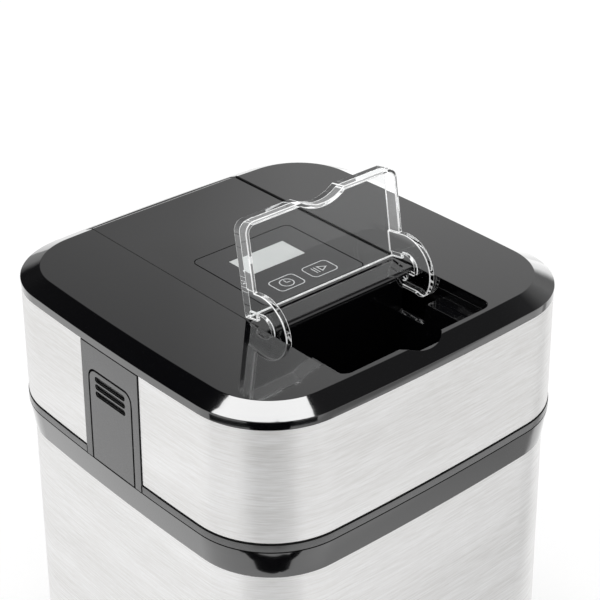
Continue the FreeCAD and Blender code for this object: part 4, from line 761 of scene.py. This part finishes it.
# Painted shadow for reflections: two darker strips across the floor in front, the machine's shadow.
apart = add_node(tree, "ShaderNodeSeparateXYZ", {"Vector": spot}).outputs
out = add_node(tree, "ShaderNodeMapRange", {"Value": apart["Y"], "From Min": -0.5, "From Max": 0.0})
shadow_strips = add_node(tree, "ShaderNodeValToRGB", {"Fac": out.outputs["Result"]})
stops = [(0.11, 1.0), (0.15, 0.42), (0.25, 0.42), (0.28, 1.0),
         (0.54, 1.0), (0.6, 0.45), (0.67, 0.45), (0.74, 1.0)]
while len(shadow_strips.color_ramp.elements) < len(stops):
    shadow_strips.color_ramp.elements.new(1.0)
for element, (position, grey) in zip(shadow_strips.color_ramp.elements, stops):
    element.position = position
    element.color = (grey, grey, grey, 1.0)
begin = add_node(tree, "ShaderNodeMapRange", {"Value": apart["X"], "From Min": -0.15,
                                              "From Max": 0.2})
shade = add_node(tree, "ShaderNodeMix", {"Factor": begin.outputs["Result"], 2: 1.0,
                                         3: shadow_strips.outputs["Color"]})
shade = add_node(tree, "ShaderNodeMath", {0: shade.outputs["Result"], 1: far_right_light.outputs["Value"]},
                 operation="MULTIPLY")
tone = add_node(tree, "ShaderNodeMix", {"Factor": rays["Is Glossy Ray"], 2: 1.0,
                                        3: shade.outputs["Value"]})
tone = add_node(tree, "ShaderNodeMix", {"Factor": rays["Is Camera Ray"],
                                        2: tone.outputs["Result"], 3: SEEN_WHITE})
white = add_node(tree, "ShaderNodeEmission", {"Color": linear("ffffff"),
                                              "Strength": tone.outputs["Result"]})
both = add_node(tree, "ShaderNodeMixShader", {0: share.outputs["Value"], 1: shader.outputs["BSDF"],
                                              2: white.outputs["Emission"]})
tree.links.new(both.outputs["Shader"], tree.nodes["Material Output"].inputs["Surface"])
floor.data.materials.append(paper)


# Flags: black cards on the floor between camera and machine, as product studios lay them down.
# Only reflections show them, as painted dark reflections: the dark lines round the machine's front
# corner.

FLAG_LIFT, FLAG_LEFT = 1 * MM, 12 * MM
black_card = new_material("black_card", {"Base Color": linear("050505"), "Roughness": 0.9,
                                         "Specular IOR Level": 0.0})[0]
flags = []
for name, near, far, near_wide, far_wide in (("ring_flag", 0.238, 0.262, 0.23, 0.23),
                                             ("band_flag", 0.38, 0.54, 0.16, 0.60)):
    bpy.ops.object.select_all(action="DESELECT")
    bpy.ops.mesh.primitive_plane_add(size=1.0)
    flag = bpy.context.object
    flag.name = name
    flag.scale = (far_wide, far - near, 1.0)
    flag.location = Vector((0.0, 0.0, FLAG_LIFT)) - AWAY * (near + far) / 2 - ACROSS * FLAG_LEFT
    for corner in flag.data.vertices:
        if corner.co.y > 0:
            corner.co.x *= near_wide / far_wide
    flags.append(flag)
# The third flag is an arc, cut off at both ends, as the corner that mirrors it is round.
SKIRT_NEAR, SKIRT_FAR, SKIRT_CENTRE = 0.366, 0.398, 0.092
bpy.ops.object.select_all(action="DESELECT")
bpy.ops.mesh.primitive_circle_add(vertices=90, radius=SKIRT_FAR, fill_type="NGON")
bpy.ops.object.mode_set(mode="EDIT")
bpy.ops.mesh.inset(thickness=SKIRT_FAR - SKIRT_NEAR)
bpy.ops.mesh.delete(type="FACE")
for angle, first in ((-74.0, True), (54.0, False)):
    turn = math.radians(angle)
    bpy.ops.mesh.select_all(action="SELECT")
    bpy.ops.mesh.bisect(plane_co=(0.0, 0.0, 0.0), plane_no=(math.cos(turn), math.sin(turn), 0.0),
                        clear_inner=first, clear_outer=not first)
bpy.ops.object.mode_set(mode="OBJECT")
flag = bpy.context.object
flag.name = "skirt_flag"
flag.location = Vector((0.0, 0.0, 2 * FLAG_LIFT)) - AWAY * SKIRT_CENTRE
flags.append(flag)
for flag in flags:
    flag.rotation_euler = (0.0, 0.0, CAMERA_TURN)
    flag.data.materials.append(black_card)
    flag.visible_camera = flag.visible_diffuse = False
    flag.visible_shadow = flag.visible_transmission = False
    flag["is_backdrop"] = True


# Room: grey walls, dark overhead and to the left, with a white card low behind at the right.
# Metal and gloss see these; camera and clear plastic see plain white; other light is a plain fill.

FILL_LIGHT = 0.7
room = bpy.data.worlds.new("studio_room")
bpy.context.scene.world = room
room.use_nodes = True
tree = room.node_tree
tree.nodes.clear()
toward = add_node(tree, "ShaderNodeTexCoord").outputs["Generated"]
height = add_node(tree, "ShaderNodeSeparateXYZ", {"Vector": toward}).outputs["Z"]
wall = add_node(tree, "ShaderNodeValToRGB", {"Fac": height})
aside = add_node(tree, "ShaderNodeVectorMath", {0: toward, 1: ACROSS}, operation="DOT_PRODUCT")
turn = add_node(tree, "ShaderNodeMapRange", {"Value": aside.outputs["Value"], "From Min": -1.0,
                                             "From Max": 1.0})
side = add_node(tree, "ShaderNodeValToRGB", {"Fac": turn.outputs["Result"]})
wall_stops = [(0.0, 0.4), (0.30, 0.4), (0.44, 0.55), (0.60, 0.37), (0.74, 0.06), (1.0, 0.06)]
side_stops = [(0.25, 0.05), (0.40, 0.45), (0.46, 0.62), (0.50, 0.95), (0.53, 1.0)]
for ramp, stops in ((wall.color_ramp, wall_stops), (side.color_ramp, side_stops)):
    while len(ramp.elements) < len(stops):
        ramp.elements.new(1.0)
    for element, (position, grey) in zip(ramp.elements, stops):
        element.position = position
        element.color = (grey, grey, grey, 1.0)
low = add_node(tree, "ShaderNodeMapRange", {"Value": height, "From Min": 0.14, "From Max": 0.26})
CARD = AWAY * 0.90 + ACROSS * 0.41 + Vector((0.0, 0.0, 0.14))
near = add_node(tree, "ShaderNodeVectorMath", {0: toward, 1: CARD}, operation="DOT_PRODUCT")
card = add_node(tree, "ShaderNodeMapRange", {"Value": near.outputs["Value"], "From Min": 0.95,
                                             "From Max": 0.985, "To Min": 0.4, "To Max": 2.0})
high = add_node(tree, "ShaderNodeMath", {0: wall.outputs["Color"], 1: side.outputs["Color"]},
                operation="MULTIPLY")
level = add_node(tree, "ShaderNodeMix", {"Factor": low.outputs["Result"], 2: card.outputs["Result"],
                                         3: high.outputs["Value"]})
rays = add_node(tree, "ShaderNodeLightPath").outputs
straight = add_node(tree, "ShaderNodeMath", {0: rays["Glossy Depth"], 1: 0.5},
                    operation="LESS_THAN")
through = add_node(tree, "ShaderNodeMath", {0: rays["Is Transmission Ray"],
                                            1: straight.outputs["Value"]}, operation="MULTIPLY")
seen = add_node(tree, "ShaderNodeMath", {0: rays["Is Camera Ray"], 1: through.outputs["Value"]},
                operation="MAXIMUM")
walls = add_node(tree, "ShaderNodeBackground", {"Color": linear("ffffff"),
                                                "Strength": level.outputs["Result"]})
white = add_node(tree, "ShaderNodeBackground", {"Color": linear("ffffff"), "Strength": 1.0})
fill = add_node(tree, "ShaderNodeBackground", {"Color": linear("ffffff"), "Strength": FILL_LIGHT})
mirrored = add_node(tree, "ShaderNodeMath", {0: rays["Is Glossy Ray"],
                                             1: rays["Is Transmission Ray"]}, operation="MAXIMUM")
gloss = add_node(tree, "ShaderNodeMixShader", {0: mirrored.outputs["Value"],
                                               1: fill.outputs["Background"],
                                               2: walls.outputs["Background"]})
both = add_node(tree, "ShaderNodeMixShader", {0: seen.outputs["Value"], 1: gloss.outputs["Shader"],
                                              2: white.outputs["Background"]})
add_node(tree, "ShaderNodeOutputWorld", {"Surface": both.outputs["Shader"]})


# Lamp: one wide softbox overhead, level, with its long side across the camera's view.
# It gives the bright patch on the cover's bevel at the front corner.

softbox = bpy.data.objects.new("overhead_softbox", bpy.data.lights.new("overhead_softbox", "AREA"))
bpy.context.scene.collection.objects.link(softbox)
softbox.data.shape = "RECTANGLE"
softbox.data.size = 3.36
softbox.data.size_y = 1.04
softbox.data.energy = 78.4
softbox.location = AWAY * 0.779 - ACROSS * 0.342 + Vector((0.0, 0.0, 4.236))
softbox.rotation_euler = (0.0, 0.0, CAMERA_TURN)
softbox.visible_camera = False


# Camera: the photograph's own view, from the left of the front and above.
# Its place, turn and lens were fitted to the machine's edges and corners in the photograph.

camera = bpy.data.objects.new("photo_camera", bpy.data.cameras.new("photo_camera"))
bpy.context.scene.collection.objects.link(camera)
camera.data.sensor_width = 36.0
camera.data.lens = 97.33
right = Vector((0.75316, -0.65785, -0.00514))
down = Vector((-0.32721, -0.36782, -0.87043))
forward = Vector((0.57071, 0.65723, -0.49227))
turned = Matrix((right, -down, -forward)).transposed().to_4x4()
eye = Vector((-0.44655, -0.52477, 0.60871))
camera.matrix_world = Matrix.Translation(eye) @ turned
bpy.context.scene.camera = camera
bpy.context.scene.view_settings.view_transform = "Standard"


# Sizes: the box of the finished model.

low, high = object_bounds()
